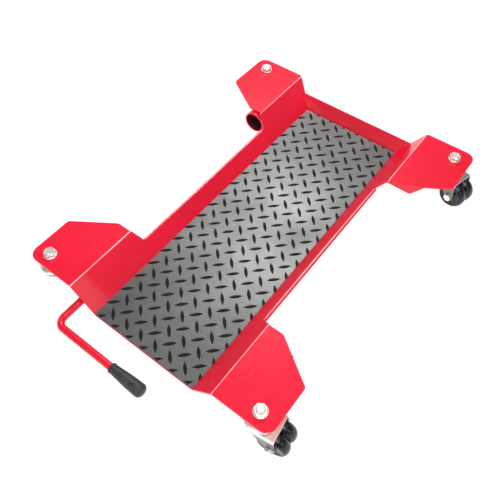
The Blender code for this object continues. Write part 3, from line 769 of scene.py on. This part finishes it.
def make_end_rail():
    low = FLOOR_RISE + GAP
    back = SHEET_T / END_SLOPE
    section = [
        (end_rail_y(END_RAIL_HEEL), low),
        (end_rail_y(END_RAIL_HEEL), END_RAIL_HEEL),
        (end_rail_y(END_RAIL_RISE), END_RAIL_RISE),
        (end_rail_y(END_RAIL_RISE) + back, END_RAIL_RISE - END_BACK_DROP),
        (END_RAIL_FOOT_Y + back, low),
    ]
    shape = bmesh.new()
    ends = []
    for side in (-1.0, 1.0):
        end = []
        for y, rise in section:
            x = FLANK_X + FLANK_LEAN * rise - END_RAIL_CLEAR
            end.append(shape.verts.new(place(side * x, y, rise)))
        shape.faces.new(end)
        ends.append(end)
    left, right = ends
    for index in range(len(section)):
        shape.faces.new((left[index - 1], left[index], right[index], right[index - 1]))
    rail = soften(piece("stop_rail", shape, RED), 0.0006)
    own(rail, "deck", "red_paint", "end_rail")


# ---------------- tread mat
LOZENGE_PITCH_X = 0.0314
LOZENGE_PITCH_Y = 0.03269
LOZENGE_SKEW = -0.0102        # sideways drift of the pattern along the mat
LOZENGE_LEN = 0.0240
LOZENGE_W = 0.0062
LOZENGE_HIGH = 0.0009
LOZENGE_X0 = -0.0026          # one lozenge's centre, from the centreline and the entry edge
LOZENGE_Y0 = 0.0023


def add_lozenge(shape, centre, angle):
    """Raised pointed bar with sloping sides, sunk a little into the sheet."""
    half = 8
    levels = ((1.0, -0.0003), (1.0, 0.0001), (0.80, 0.8 * LOZENGE_HIGH), (0.52, LOZENGE_HIGH))
    turn = Matrix.Rotation(angle, 3, "Z")
    rings = []
    for size, rise in levels:
        ring = []
        for side in (1.0, -1.0):
            for step in range(half):
                along = math.cos(math.pi * step / half) * side
                across = side * (1.0 - along * along) * LOZENGE_W / 2.0
                shrink = (1.0 - size) * LOZENGE_W * 0.5
                spot = Vector((along * (LOZENGE_LEN / 2.0 - 1.6 * shrink), across * size, rise))
                ring.append(shape.verts.new(centre + turn @ spot))
        rings.append(ring)
    skin(shape, rings)


def trim_to_mat(shape):
    """Cut off what reaches past the mat's edges, leaving closed bodies."""
    margin = 0.0012
    walls = (
        ((MAT_LOW.x + margin, 0, 0), (-1, 0, 0)),
        ((MAT_HIGH.x - margin, 0, 0), (1, 0, 0)),
        ((0, MAT_LOW.y + margin, 0), (0, -1, 0)),
        ((0, MAT_HIGH.y - margin, 0), (0, 1, 0)),
    )
    for spot, normal in walls:
        made = cut(shape, spot, normal, clear_outer=True)["geom_cut"]
        rim = [part for part in made if isinstance(part, bmesh.types.BMEdge)]
        bmesh.ops.holes_fill(shape, edges=rim, sides=0)


def mat_section(top_rise):
    """Half section across the mat, its side following the sheet's fold and flank."""
    bend = (U_FOOT, FLOOR_RISE + FOOT_BEND_R)
    side = arc(bend, FOOT_BEND_R - GAP, -90.0, math.degrees(FLANK_ANGLE) - 90.0, 6)
    side.append((FLANK_X + FLANK_LEAN * top_rise - GAP * FLANK_SLOPE, top_rise))
    return side


def make_mat():
    base_top = DECK_Z - LOZENGE_HIGH
    side = mat_section(-LOZENGE_HIGH)
    outline = side + [(-x, rise) for x, rise in reversed(side)]
    half_len = (MAT_HIGH.y - MAT_LOW.y) / 2.0
    shape = prism(outline, -half_len, half_len)
    bmesh.ops.transform(shape, matrix=plate_frame(MAT_LOW.y + half_len, 1), verts=shape.verts[:])
    sheet = piece("mat_sheet", shape, MAT)
    own(soften(sheet, 0.0003, 1), "deck", "tread_mat", "deck_mat")

    shape = bmesh.new()
    columns = range(int(MAT_LOW.x / LOZENGE_PITCH_X) - 1, int(MAT_HIGH.x / LOZENGE_PITCH_X) + 2)
    rows = range(-1, int((MAT_HIGH.y - ENTRY_Y) / LOZENGE_PITCH_Y) + 2)
    reach = LOZENGE_LEN * 0.36
    for column in columns:
        for row in rows:
            for shift, angle in ((0.0, math.pi / 4.0), (0.5, -math.pi / 4.0)):
                along = LOZENGE_Y0 + (row + shift) * LOZENGE_PITCH_Y
                x = LOZENGE_X0 + (column + shift) * LOZENGE_PITCH_X + LOZENGE_SKEW * along
                y = ENTRY_Y + along
                inside_x = MAT_LOW.x - reach < x < MAT_HIGH.x + reach
                inside_y = MAT_LOW.y - reach < y < MAT_HIGH.y + reach
                if inside_x and inside_y:
                    add_lozenge(shape, Vector((x, y, base_top)), angle)
    trim_to_mat(shape)
    studs = piece("mat_lozenges", shape, LOZENGE, sharp=50.0)
    own(studs, "deck", "tread_mat", "deck_mat")


# ---------------- welds
BEAD_RIPPLE = 0.0022          # length of one weld scale
BEAD_SPOKES = 10
CORNER_BEAD_R = 0.0019
RAIL_BEAD_R = 0.0016
RAIL_BEAD_LEN = 0.040
RAIL_BEAD_STARTS = (-0.096, -0.020, 0.056)
PLATE_BEAD_R = 0.0015
PLATE_BEAD_INSET = 0.006
TUBE_BEAD_R = 0.0017
TUBE_BEAD_SIDE = 0.0045       # the tube's two beads, from its middle
WING_BEAD_Z = DECK_Z + WING_UNDER - 0.0006


def bead_swell(along, length):
    """Share of a bead's full radius: every scale narrows, and both ends taper."""
    scale = 1.0 - ((along * length / BEAD_RIPPLE) % 1.0) * 0.28
    edge = min(along, 1.0 - along)
    if edge >= 0.08:
        return scale
    return scale * max(min(1.0, math.sin(math.pi * edge * 6.0 + 0.35)), 0.3)


def add_bead(shape, start, end, radius):
    """Weld bead between two points: overlapping scales along a closed round bar."""
    axis = (end - start).normalized()
    side = axis.orthogonal().normalized()
    other = axis.cross(side)
    length = (end - start).length
    steps = max(6, int(length / BEAD_RIPPLE * 4))
    rings = []
    for step in range(steps + 1):
        along = step / steps
        wander = 0.12 * radius * math.sin(along * length * 900.0)
        centre = start + axis * (along * length) + side * wander
        reach = radius * bead_swell(along, length)
        ring = []
        for spoke in range(BEAD_SPOKES):
            x, y = around(reach, math.tau * spoke / BEAD_SPOKES, 0.0)[:2]
            ring.append(shape.verts.new(centre + side * x + other * y))
        rings.append(ring)
    skin(shape, rings)


def weld_plate(shape, node):
    """Beads along a plate's top and flank edges, on both of its faces."""
    low, high, side, outer = plate_reach(node)
    foot_rise = max(low.z - DECK_Z, 0.004) + 0.003
    head_rise = WING_UNDER - 0.008
    inner = flank_outer_x(WING_UNDER)
    for y in (low.y, high.y):
        add_bead(shape, Vector((side * (inner + PLATE_BEAD_INSET), y, WING_BEAD_Z)),
                 Vector((side * (outer - PLATE_BEAD_INSET), y, WING_BEAD_Z)), PLATE_BEAD_R)
        foot, head = (place(side * flank_outer_x(rise), y - ENTRY_Y, rise)
                      for rise in (foot_rise, head_rise))
        add_bead(shape, foot, head, PLATE_BEAD_R)


def make_welds():
    shape = bmesh.new()
    for side in (-1.0, 1.0):
        low = end_rail_point(side, FLOOR_RISE + 0.006)
        high = end_rail_point(side, END_RAIL_RISE - 0.001)
        add_bead(shape, low, high, CORNER_BEAD_R)
    for start in RAIL_BEAD_STARTS:
        low = place(start, END_RAIL_FOOT_Y + 0.0045, FLOOR_RISE + 0.0002)
        add_bead(shape, low, low + Vector((RAIL_BEAD_LEN, 0.0, 0.0)), RAIL_BEAD_R)
    for node in PLATES:
        weld_plate(shape, node)
    for side in (-TUBE_BEAD_SIDE, TUBE_BEAD_SIDE):
        add_bead(shape, Vector((TUBE_X + side, TUBE_LOW.y + 0.020, WING_BEAD_Z)),
                 Vector((TUBE_X + side, TUBE_HIGH.y - 0.004, WING_BEAD_Z)), TUBE_BEAD_R)
    own(piece("weld_beads", shape, RED, sharp=60.0), "deck", "red_paint")


# ---------------- under the wings
def plate_frame(centre_y, side):
    """Frame of an upright plate: x away from the centreline, y up from the tread surface."""
    columns = Matrix(((side, 0, 0), (0, 0, -side), (0, 1, 0)))
    return Matrix.Translation((0.0, centre_y, DECK_Z)) @ columns.to_4x4()


def plate_reach(node):
    """A plate's box, the side of the deck it is on, and how far out it reaches."""
    low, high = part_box(node)
    side = 1.0 if low.x > 0.0 else -1.0
    return low, high, side, max(abs(low.x), abs(high.x))


def make_gusset(node, knee, lug):
    """Plate across the corner under a wing; lug is its bush hole's centre, if it has one."""
    low, high, side, top_x = plate_reach(node)
    top = WING_UNDER - GAP
    notch = 0.005                      # cut corner that clears the wing's fold
    foot_rise = 0.004 if lug else low.z - DECK_Z
    outline = [(flank_outer_x(foot_rise), foot_rise)]
    if lug:
        outline += arc(lug, 0.0145, 200.0, 350.0, 16)
    outline += knee
    outline += [(top_x, top), (flank_outer_x(top) + 0.004, top),
                (flank_outer_x(top - notch), top - notch)]
    holes = [(*lug, BUSH_R + GAP)] if lug else []
    half = GUSSET_T / 2.0
    shape = prism(outline, -half, half, holes)
    plate = piece(node + "_plate", shape, RED, plate_frame((low.y + high.y) / 2.0, side))
    own(soften(plate, 0.0005, 2), "deck", "red_paint", node)


def make_gussets():
    lug = (-PIVOT.x, PIVOT.z - DECK_Z)
    knee = [(0.182, 0.0100), (0.186, 0.0120)]
    for corner in CORNERS[1:]:
        make_gusset("gusset_" + corner, knee, None)
    make_gusset("gusset_near_left", knee, lug)
    make_gusset("lever_bracket", [], lug)


def along_minus_y(x, y, z):
    """Frame at a point whose Z runs towards the entry edge."""
    return Matrix.Translation((x, y, z)) @ UPRIGHT


def make_socket_tube():
    radius = (TUBE_HIGH.z - TUBE_LOW.z) / 2.0
    inner = radius - 0.003
    length = TUBE_HIGH.y - TUBE_LOW.y
    lip = 0.0006
    profile = [
        (radius - lip, 0.0), (radius, -lip), (radius, -length + lip), (radius - lip, -length),
        (inner + lip, -length), (inner, -length + lip), (inner, -lip), (inner + lip, 0.0),
    ]
    where = along_minus_y(TUBE_X, TUBE_LOW.y, (TUBE_LOW.z + TUBE_HIGH.z) / 2.0)
    tube = piece("socket_sleeve", lathe(profile, 72), RED, where)
    # the faces of the bore take the painted shade material
    tube.data.materials.append(BORE)
    for face in tube.data.polygons:
        if math.hypot(face.center.x, face.center.y) < inner + lip / 4.0:
            face.material_index = 1
    own(tube, "deck", "red_paint", "socket_tube")


# ---------------- floor lock lever
ARM_Y = (GRIP_LOW.y + GRIP_HIGH.y) / 2.0
GRIP_NECK_R = 0.0083
GRIP_NECK_LEN = 0.0045
GRIP_END_R = 0.0075
GRIP_END_WALL = 0.0115


def make_rod():
    """Round bar: its shaft, one bend and the arm that carries the grip."""
    corner = (PIVOT.x + LEVER_BEND_R, ARM_Y + LEVER_BEND_R)
    shaft_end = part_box("lever_bar")[1].y
    route = [(PIVOT.x, shaft_end)] + arc(corner, LEVER_BEND_R, 180.0, 270.0, 20)
    route.append((GRIP_HIGH.x - 0.012, ARM_Y))
    curve = configured(bpy.data.curves.new("lever_rod", "CURVE"), dimensions="3D",
                       bevel_depth=LEVER_R, bevel_resolution=14, use_fill_caps=True)
    spline = curve.splines.new("POLY")
    spline.points.add(len(route) - 1)
    for point, (x, y) in zip(spline.points, route):
        point.co = (x, y, PIVOT.z, 1.0)
    rod = add_object("lever_rod_curve", curve)
    mesh = evaluated_mesh(rod)
    bpy.data.objects.remove(rod)
    shape = bmesh.new()
    shape.from_mesh(mesh)
    bpy.data.meshes.remove(mesh)
    bmesh.ops.remove_doubles(shape, verts=shape.verts[:], dist=0.000005)
    own(piece("lever_rod", shape, RED), "lever", "red_paint", "lever_bar")


def make_grip():
    """Tapered sleeve with a round end, a swelling body and a beaded mouth."""
    length = GRIP_HIGH.x - GRIP_LOW.x
    grip_r = (GRIP_HIGH.z - GRIP_LOW.z) / 2.0
    bore = LEVER_R + 0.0002
    body_end = length - GRIP_END_R
    profile = [(0.0, length)]
    profile += arc((grip_r - GRIP_END_R, body_end), GRIP_END_R, 90.0, 0.0, 12)[1:]
    for step in range(1, 11):
        along = 1.0 - step / 10.0
        swell = math.sin(along * math.pi / 2.0)
        profile.append((GRIP_NECK_R + (grip_r - GRIP_NECK_R) * swell,
                        GRIP_NECK_LEN + (body_end - GRIP_NECK_LEN) * along))
    profile += [(GRIP_NECK_R, 0.0036), (0.0089, 0.0030), (0.0090, 0.0010), (0.0084, 0.0),
                (bore, 0.0), (bore, length - GRIP_END_WALL), (0.0, length - GRIP_END_WALL)]
    mouth = Matrix.Translation((GRIP_LOW.x, ARM_Y, (GRIP_LOW.z + GRIP_HIGH.z) / 2.0))
    where = mouth @ Matrix.Rotation(math.radians(90.0), 4, "Y")
    grip = piece("hand_grip", lathe(profile, 72, closed=False), GRIP, where, 40.0)
    own(grip, "lever", "grip_plastic", "lever_grip")


def make_collar():
    length = COLLAR_HIGH.y - COLLAR_LOW.y
    outer = 0.0105
    lip = 0.0004
    profile = [(outer - lip, 0.0), (outer, -lip), (outer, -length + lip), (outer - lip, -length),
               (SHAFT_BORE_R, -length), (SHAFT_BORE_R, 0.0)]
    where = along_minus_y(PIVOT.x, COLLAR_LOW.y, PIVOT.z)
    collar = piece("shaft_collar", lathe(profile, 64), BRIGHT_ZINC, where)
    own(collar, "lever", "fastener_zinc", "lever_collar")


def make_bushes():
    for end in ("front", "rear"):
        low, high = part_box("lever_bush_" + end)
        flange = (high.z - low.z) / 2.0
        length = high.y - low.y
        bore = LEVER_R + 0.0004
        profile = [
            (flange - 0.0004, 0.0), (flange, -0.0004), (flange, -0.0020), (BUSH_R, -0.0020),
            (BUSH_R, -length + 0.0004), (BUSH_R - 0.0004, -length), (bore + 0.0003, -length),
            (bore, -length + 0.0003), (bore, -0.0003), (bore + 0.0003, 0.0),
        ]
        where = along_minus_y(PIVOT.x, low.y, PIVOT.z)
        bush = piece("bush_" + end, lathe(profile, 64), BRONZE, where)
        own(bush, "deck", "sintered_bronze", "lever_bush_" + end)


def make_lock_foot():
    hub_r = 0.0125
    toe_r = (PAD_HIGH.z - PAD_LOW.z) / 2.0
    reach = PIVOT.x - FOOT_LOW.x
    width = FOOT_HIGH.y - FOOT_LOW.y
    outline = arc((0.0, 0.0), hub_r, -60.0, 60.0, 24) + [(-reach, toe_r), (-reach, -toe_r)]
    shape = prism(outline, -width / 2.0, width / 2.0, [(0.0, 0.0, SHAFT_BORE_R)])
    stand = Matrix.Translation((PIVOT.x, (FOOT_LOW.y + FOOT_HIGH.y) / 2.0, PIVOT.z))
    foot = piece("lock_shoe", shape, RED, stand @ UPRIGHT)
    own(soften(foot, 0.0008, 3), "lever", "red_paint", "lock_foot")

    block = bmesh.new()
    bmesh.ops.create_cube(block, size=1.0)
    bmesh.ops.scale(block, vec=PAD_HIGH - PAD_LOW, verts=block.verts[:])
    pad = piece("shoe_pad", block, PAD, Matrix.Translation((PAD_LOW + PAD_HIGH) / 2.0))
    own(soften(pad, 0.0012, 3), "lever", "pad_rubber", "foot_pad")


# ---------------- casters
def swivel_frame(corner):
    """Frame on the floor under a stem, its X towards the wheels."""
    stem = stem_place(corner)
    offset = wheel_offset(corner)
    turn = math.atan2(offset.y, offset.x)
    return Matrix.Translation((stem.x, stem.y, 0.0)) @ Matrix.Rotation(turn, 4, "Z")


def wheel_offset(corner):
    """Level vector from a stem to its wheels' axle."""
    return (Vector(JOINTS["roll_a_" + corner]["pos_m"]) - stem_place(corner)).xy


TRAIL = wheel_offset("near_right").length
FORK_HALF_W = 0.0236


def axle_frame(swivel):
    """Frame at the middle of a caster's axle, its Z along the axle."""
    return swivel @ Matrix.Translation((TRAIL, 0.0, WHEEL_R)) @ UPRIGHT


def make_stem(corner, swivel):
    low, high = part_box("caster_stem_" + corner)
    plate_low = FORK_TOP_Z - FORK_T
    lip = 0.0008
    seat = plate_low - GAP
    profile = [(0.0, high.z), (STEM_R - lip, high.z)]
    profile += thread(STEM_R, 0.0745, high.z - lip, M12_PITCH)
    profile += [                                   # domed bearing cover
        (STEM_R, 0.0737), (0.0095, 0.0728), (0.0120, 0.0727), (0.0170, 0.0722),
        (0.0222, 0.0712), (CROWN_R - 0.0007, 0.0698), (CROWN_R, 0.0688), (CROWN_R, 0.0660),
    ]
    profile += [                                   # its lip and the hollow inside
        (CROWN_R - 0.0005, 0.0655), (CROWN_R - 0.0013, 0.0655), (CROWN_R - 0.0020, 0.0668),
        (STEM_R + 0.001, 0.0668), (STEM_R, 0.0655),
    ]
    profile += [                                   # rivet head under the fork's bridge
        (STEM_R, seat), (0.0092, seat), (0.0090, plate_low - 0.0016),
        (0.0070, plate_low - 0.0028), (0.0040, low.z), (0.0, low.z),
    ]
    shape = lathe(profile, 48, closed=False)
    stem = piece("stem_" + corner, shape, BRIGHT_ZINC, swivel, 28.0)
    own(stem, "deck", "fastener_zinc", "caster_stem_" + corner)


BALLS = 20
BALL_R = 0.0019
BALL_RING_R = 0.0180


def make_ball_ring(corner, swivel):
    """Lower race with the balls that show in the slot under the cover."""
    low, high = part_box("ball_ring_" + corner)
    outer = CROWN_R - 0.003
    middle = (low.z + high.z) / 2.0
    bore = 0.0130
    cup = [(outer - 0.0035, low.z + 0.0022), (outer - 0.0008, low.z + 0.0016),
           (outer, low.z + 0.0008), (outer, low.z), (bore, low.z), (bore, low.z + 0.0022)]
    shape = lathe(cup, 64)
    for ball in range(BALLS):
        spot = around(BALL_RING_R, math.tau * ball / BALLS, middle + 0.0006)
        bmesh.ops.create_uvsphere(shape, u_segments=16, v_segments=10, radius=BALL_R,
                                  matrix=Matrix.Translation(spot))
    ring = piece("race_" + corner, shape, GREASE, swivel, 40.0)
    own(ring, "swivel_" + corner, "fastener_zinc", "ball_ring_" + corner)


def make_stem_fasteners(corner, swivel):
    washer_low, washer_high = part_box("stem_washer_" + corner)
    outer = (washer_high.y - washer_low.y) / 2.0
    lip = 0.0004
    bottom, top = washer_low.z, washer_high.z
    hole = STEM_R + GAP
    profile = [(outer - lip, top), (outer, top - lip), (outer, bottom + lip), (outer - lip, bottom),
               (hole, bottom), (hole, top - lip), (hole + lip, top)]
    washer = piece("washer_" + corner, lathe(profile, 72), BRIGHT_ZINC, swivel)
    own(washer, "deck", "fastener_zinc", "stem_washer_" + corner)
    for node, name in (("stem_nut_", "top_nut_"), ("lock_nut_", "under_nut_")):
        low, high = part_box(node + corner)
        shape = hexagonal(M12_NUT_ACROSS, low.z, high.z, hole)
        nut = piece(name + corner, shape, BRIGHT_ZINC, swivel, 25.0)
        own(nut, "deck", "fastener_zinc", node + corner)


def make_fork(corner, swivel):
    """Pressed fork: half a flat blank, bent down at the bridge's edge, then mirrored."""
    side = FORK_HALF_W
    drop = FORK_TOP_Z - WHEEL_R
    quarter = FORK_BEND_R * math.pi / 2.0
    start = side - FORK_BEND_R
    lost = 2.0 * FORK_BEND_R - quarter           # blank length saved by the bend
    boss = arc((TRAIL, side + drop - lost), 0.009, 20.0, 145.0, 16)
    leg = [(FORK_BACK, start)] + boss + [(-0.003, start + quarter)]
    shoulder = math.degrees(math.asin(start / side))
    half = [(FORK_BACK, 0.0)] + leg + arc((0.0, 0.0), side, 180.0 - shoulder, 180.0, 12)
    shape = bmesh.new()
    shape.faces.new([shape.verts.new((x, y, 0.0)) for x, y in half])
    split_sheet(shape, [start + quarter * step / 5 for step in range(6)], 1)
    for vert in shape.verts:
        across = vert.co.y
        if across > start + quarter:
            bent = (side, -FORK_BEND_R - (across - start - quarter))
        elif across > start:
            angle = (across - start) / FORK_BEND_R
            bent = (start + FORK_BEND_R * math.sin(angle), -FORK_BEND_R * (1.0 - math.cos(angle)))
        else:
            bent = (across, 0.0)
        vert.co = Vector((vert.co.x, bent[0], FORK_TOP_Z + bent[1]))
    fork = piece("fork_" + corner, shape, FORK_ZINC, swivel)
    sheet_metal(fork, FORK_T, 1)
    bridge = swivel @ Matrix.Translation((0, 0, FORK_TOP_Z))
    settle(fork, [
        drill(fork, "fork_drill_" + corner, STEM_R + 0.0006, 0.02, bridge),
        drill(fork, "axle_drill_" + corner, AXLE_R + 0.0004, 0.08, axle_frame(swivel)),
    ])
    soften(fork, 0.0005, 2, 40.0)
    own(fork, "swivel_" + corner, "fork_zinc", "caster_fork_" + corner)


def make_axle(corner, swivel):
    frame_here = axle_frame(swivel)
    seat = FORK_HALF_W + GAP
    head_high = seat + 0.0053
    nut_low = -seat - 0.0065
    shank_end = -seat - 0.0090
    shank = [(0.0, seat + 0.0008), (AXLE_R, seat + 0.0008), (AXLE_R, -seat + 0.006)]
    shank += thread(AXLE_R, shank_end + 0.0008, -seat + 0.005, M8_PITCH, 0.0004)
    shank += [(AXLE_R - 0.0008, shank_end), (0.0, shank_end)]
    parts = (
        ("axle_head_", "axle_bolt_", 25.0,
         hexagonal(M8_NUT_ACROSS, seat, head_high, 0.0, both_ends=False)),
        ("axle_shank_", "axle_bolt_", 28.0, lathe(shank, 32, closed=False)),
        ("axle_hex_", "axle_nut_", 25.0,
         hexagonal(M8_NUT_ACROSS, nut_low, -seat, AXLE_R + 0.0002)),
    )
    for name, node, sharp, shape in parts:
        part = piece(name + corner, shape, BRIGHT_ZINC, frame_here, sharp)
        own(part, "swivel_" + corner, "fastener_zinc", node + corner)


WHEEL_W = 0.0200
WHEEL_FACE_X = 0.0008


def wheel_profile():
    """Section of a wheel: crowned tread, rolled shoulder, dished face, bored hub."""
    half = WHEEL_W / 2.0
    tread = []
    for step in range(25):
        across = 1.0 - step / 12.0
        tread.append((WHEEL_R - WHEEL_CROWN * abs(across) ** 2.5, half * across))
    shoulder = WHEEL_R - WHEEL_CROWN
    face = [(shoulder - 0.0012, 0.0), (shoulder - 0.0030, 0.0), (shoulder - 0.0040, 0.0005),
            (shoulder - 0.0052, 0.0014), (0.0105, 0.0017), (0.0096, 0.0012), (0.0090, 0.0002),
            (0.0084, 0.0), (AXLE_R + 0.0008, 0.0), (AXLE_R + 0.0004, 0.0003)]
    lower = [(radius, -half + dish) for radius, dish in face]
    upper = [(radius, half - dish) for radius, dish in reversed(face)]
    return tread + lower + upper


def make_wheels(corner, swivel):
    frame_here = axle_frame(swivel)
    for side, sign in (("a", 1.0), ("b", -1.0)):
        middle = sign * (WHEEL_FACE_X + WHEEL_W / 2.0)
        where = frame_here @ Matrix.Translation((0.0, 0.0, middle))
        name = side + "_" + corner
        wheel = piece("roller_" + name, lathe(wheel_profile(), 96), WHEEL, where, 50.0)
        own(wheel, "wheel_" + name, "wheel_plastic", "wheel_" + name)


def make_casters():
    for corner in CORNERS:
        swivel = swivel_frame(corner)
        make_stem(corner, swivel)
        make_ball_ring(corner, swivel)
        make_stem_fasteners(corner, swivel)
        make_fork(corner, swivel)
        make_axle(corner, swivel)
        make_wheels(corner, swivel)


# ---------------- studio
def make_floor():
    """Large white floor; its own glow keeps the backdrop white under dim lights."""
    shape = bmesh.new()
    bmesh.ops.create_grid(shape, x_segments=1, y_segments=1, size=14.0)
    look = Look("studio_floor", roughness=0.9, specular=0.1)
    look.fix(look.shader, **{"Base Color": (0.25, 0.25, 0.25, 1.0),
                             "Emission Color": (1.0, 1.0, 1.0, 1.0),
                             "Emission Strength": 0.92})
    below = Matrix.Translation((0.0, 0.0, -0.0005))
    piece("studio_floor", shape, look.material, below)


SOFTBOXES = (                 # name, place, target, size and watts
    ("glare_box", (-0.75, 1.12, 1.9), (0.0, 0.0, 0.05), (0.6, 0.6), 26.0),
    ("side_box", (1.5, -0.15, 0.8), (-0.1, -0.2, 0.06), (0.6, 0.5), 1.6),
    ("front_box", (0.2, -1.9, 1.3), (0.0, 0.0, 0.05), (1.4, 0.9), 15.0),
    ("top_box", (0.85, -0.45, 2.4), (0.0, 0.0, 0.0), (1.3, 1.3), 26.0),
    ("left_strip", (-1.6, 0.3, 0.95), (0.2, 0.0, 0.09), (2.4, 0.05), 3.0),
    ("right_strip", (1.0, 0.3, 1.5), (-0.15, 0.0, 0.09), (2.4, 0.05), 3.0),
)


def add_softbox(name, where, target, size, power):
    light = configured(bpy.data.lights.new(name, "AREA"), shape="RECTANGLE", size=size[0],
                       size_y=size[1], energy=power)
    box = add_object(name, light)
    box.location = where
    box.rotation_euler = (Vector(target) - Vector(where)).to_track_quat("-Z", "Y").to_euler()


def make_light():
    world = bpy.data.worlds.new("studio")
    world.use_nodes = True
    # white near the horizon, dim overhead, so that gloss paint keeps its depth
    tree = world.node_tree
    sky = tree.nodes["Background"]
    sky.inputs["Color"].default_value = (1.0, 1.0, 1.0, 1.0)
    coords = tree.nodes.new("ShaderNodeTexCoord")
    parts = tree.nodes.new("ShaderNodeSeparateXYZ")
    dome = tree.nodes.new("ShaderNodeMapRange")
    fade = {"From Min": 0.06, "From Max": 0.24, "To Min": 1.0, "To Max": 0.22}
    for socket, value in fade.items():
        dome.inputs[socket].default_value = value
    tree.links.new(coords.outputs["Generated"], parts.inputs[0])
    tree.links.new(parts.outputs["Z"], dome.inputs["Value"])
    tree.links.new(dome.outputs["Result"], sky.inputs["Strength"])
    bpy.context.scene.world = world
    for name, where, target, size, power in SOFTBOXES:
        add_softbox(name, where, target, size, power)
    bpy.context.scene.view_settings.view_transform = "Standard"


CAMERA_AT = place(0.3702, -0.1872, 0.8078)
CAMERA_TARGET = place(0.0201, 0.2553, 0.0)
CAMERA_ROLL = math.radians(-1.0)
CAMERA_LENS = 40.19


def make_camera():
    data = configured(bpy.data.cameras.new("camera"), lens=CAMERA_LENS, sensor_width=36.0)
    camera = add_object("camera", data)
    camera.location = CAMERA_AT
    aim = (CAMERA_TARGET - CAMERA_AT).to_track_quat("-Z", "Y")
    camera.rotation_euler = (aim.to_matrix() @ Matrix.Rotation(CAMERA_ROLL, 3, "Z")).to_euler()
    bpy.context.scene.camera = camera


# ---------------- build
make_deck_sheet()
make_end_rail()
make_mat()
make_gussets()
make_socket_tube()
make_rod()
make_grip()
make_collar()
make_bushes()
make_lock_foot()
make_casters()
make_welds()
make_floor()
make_light()
make_camera()
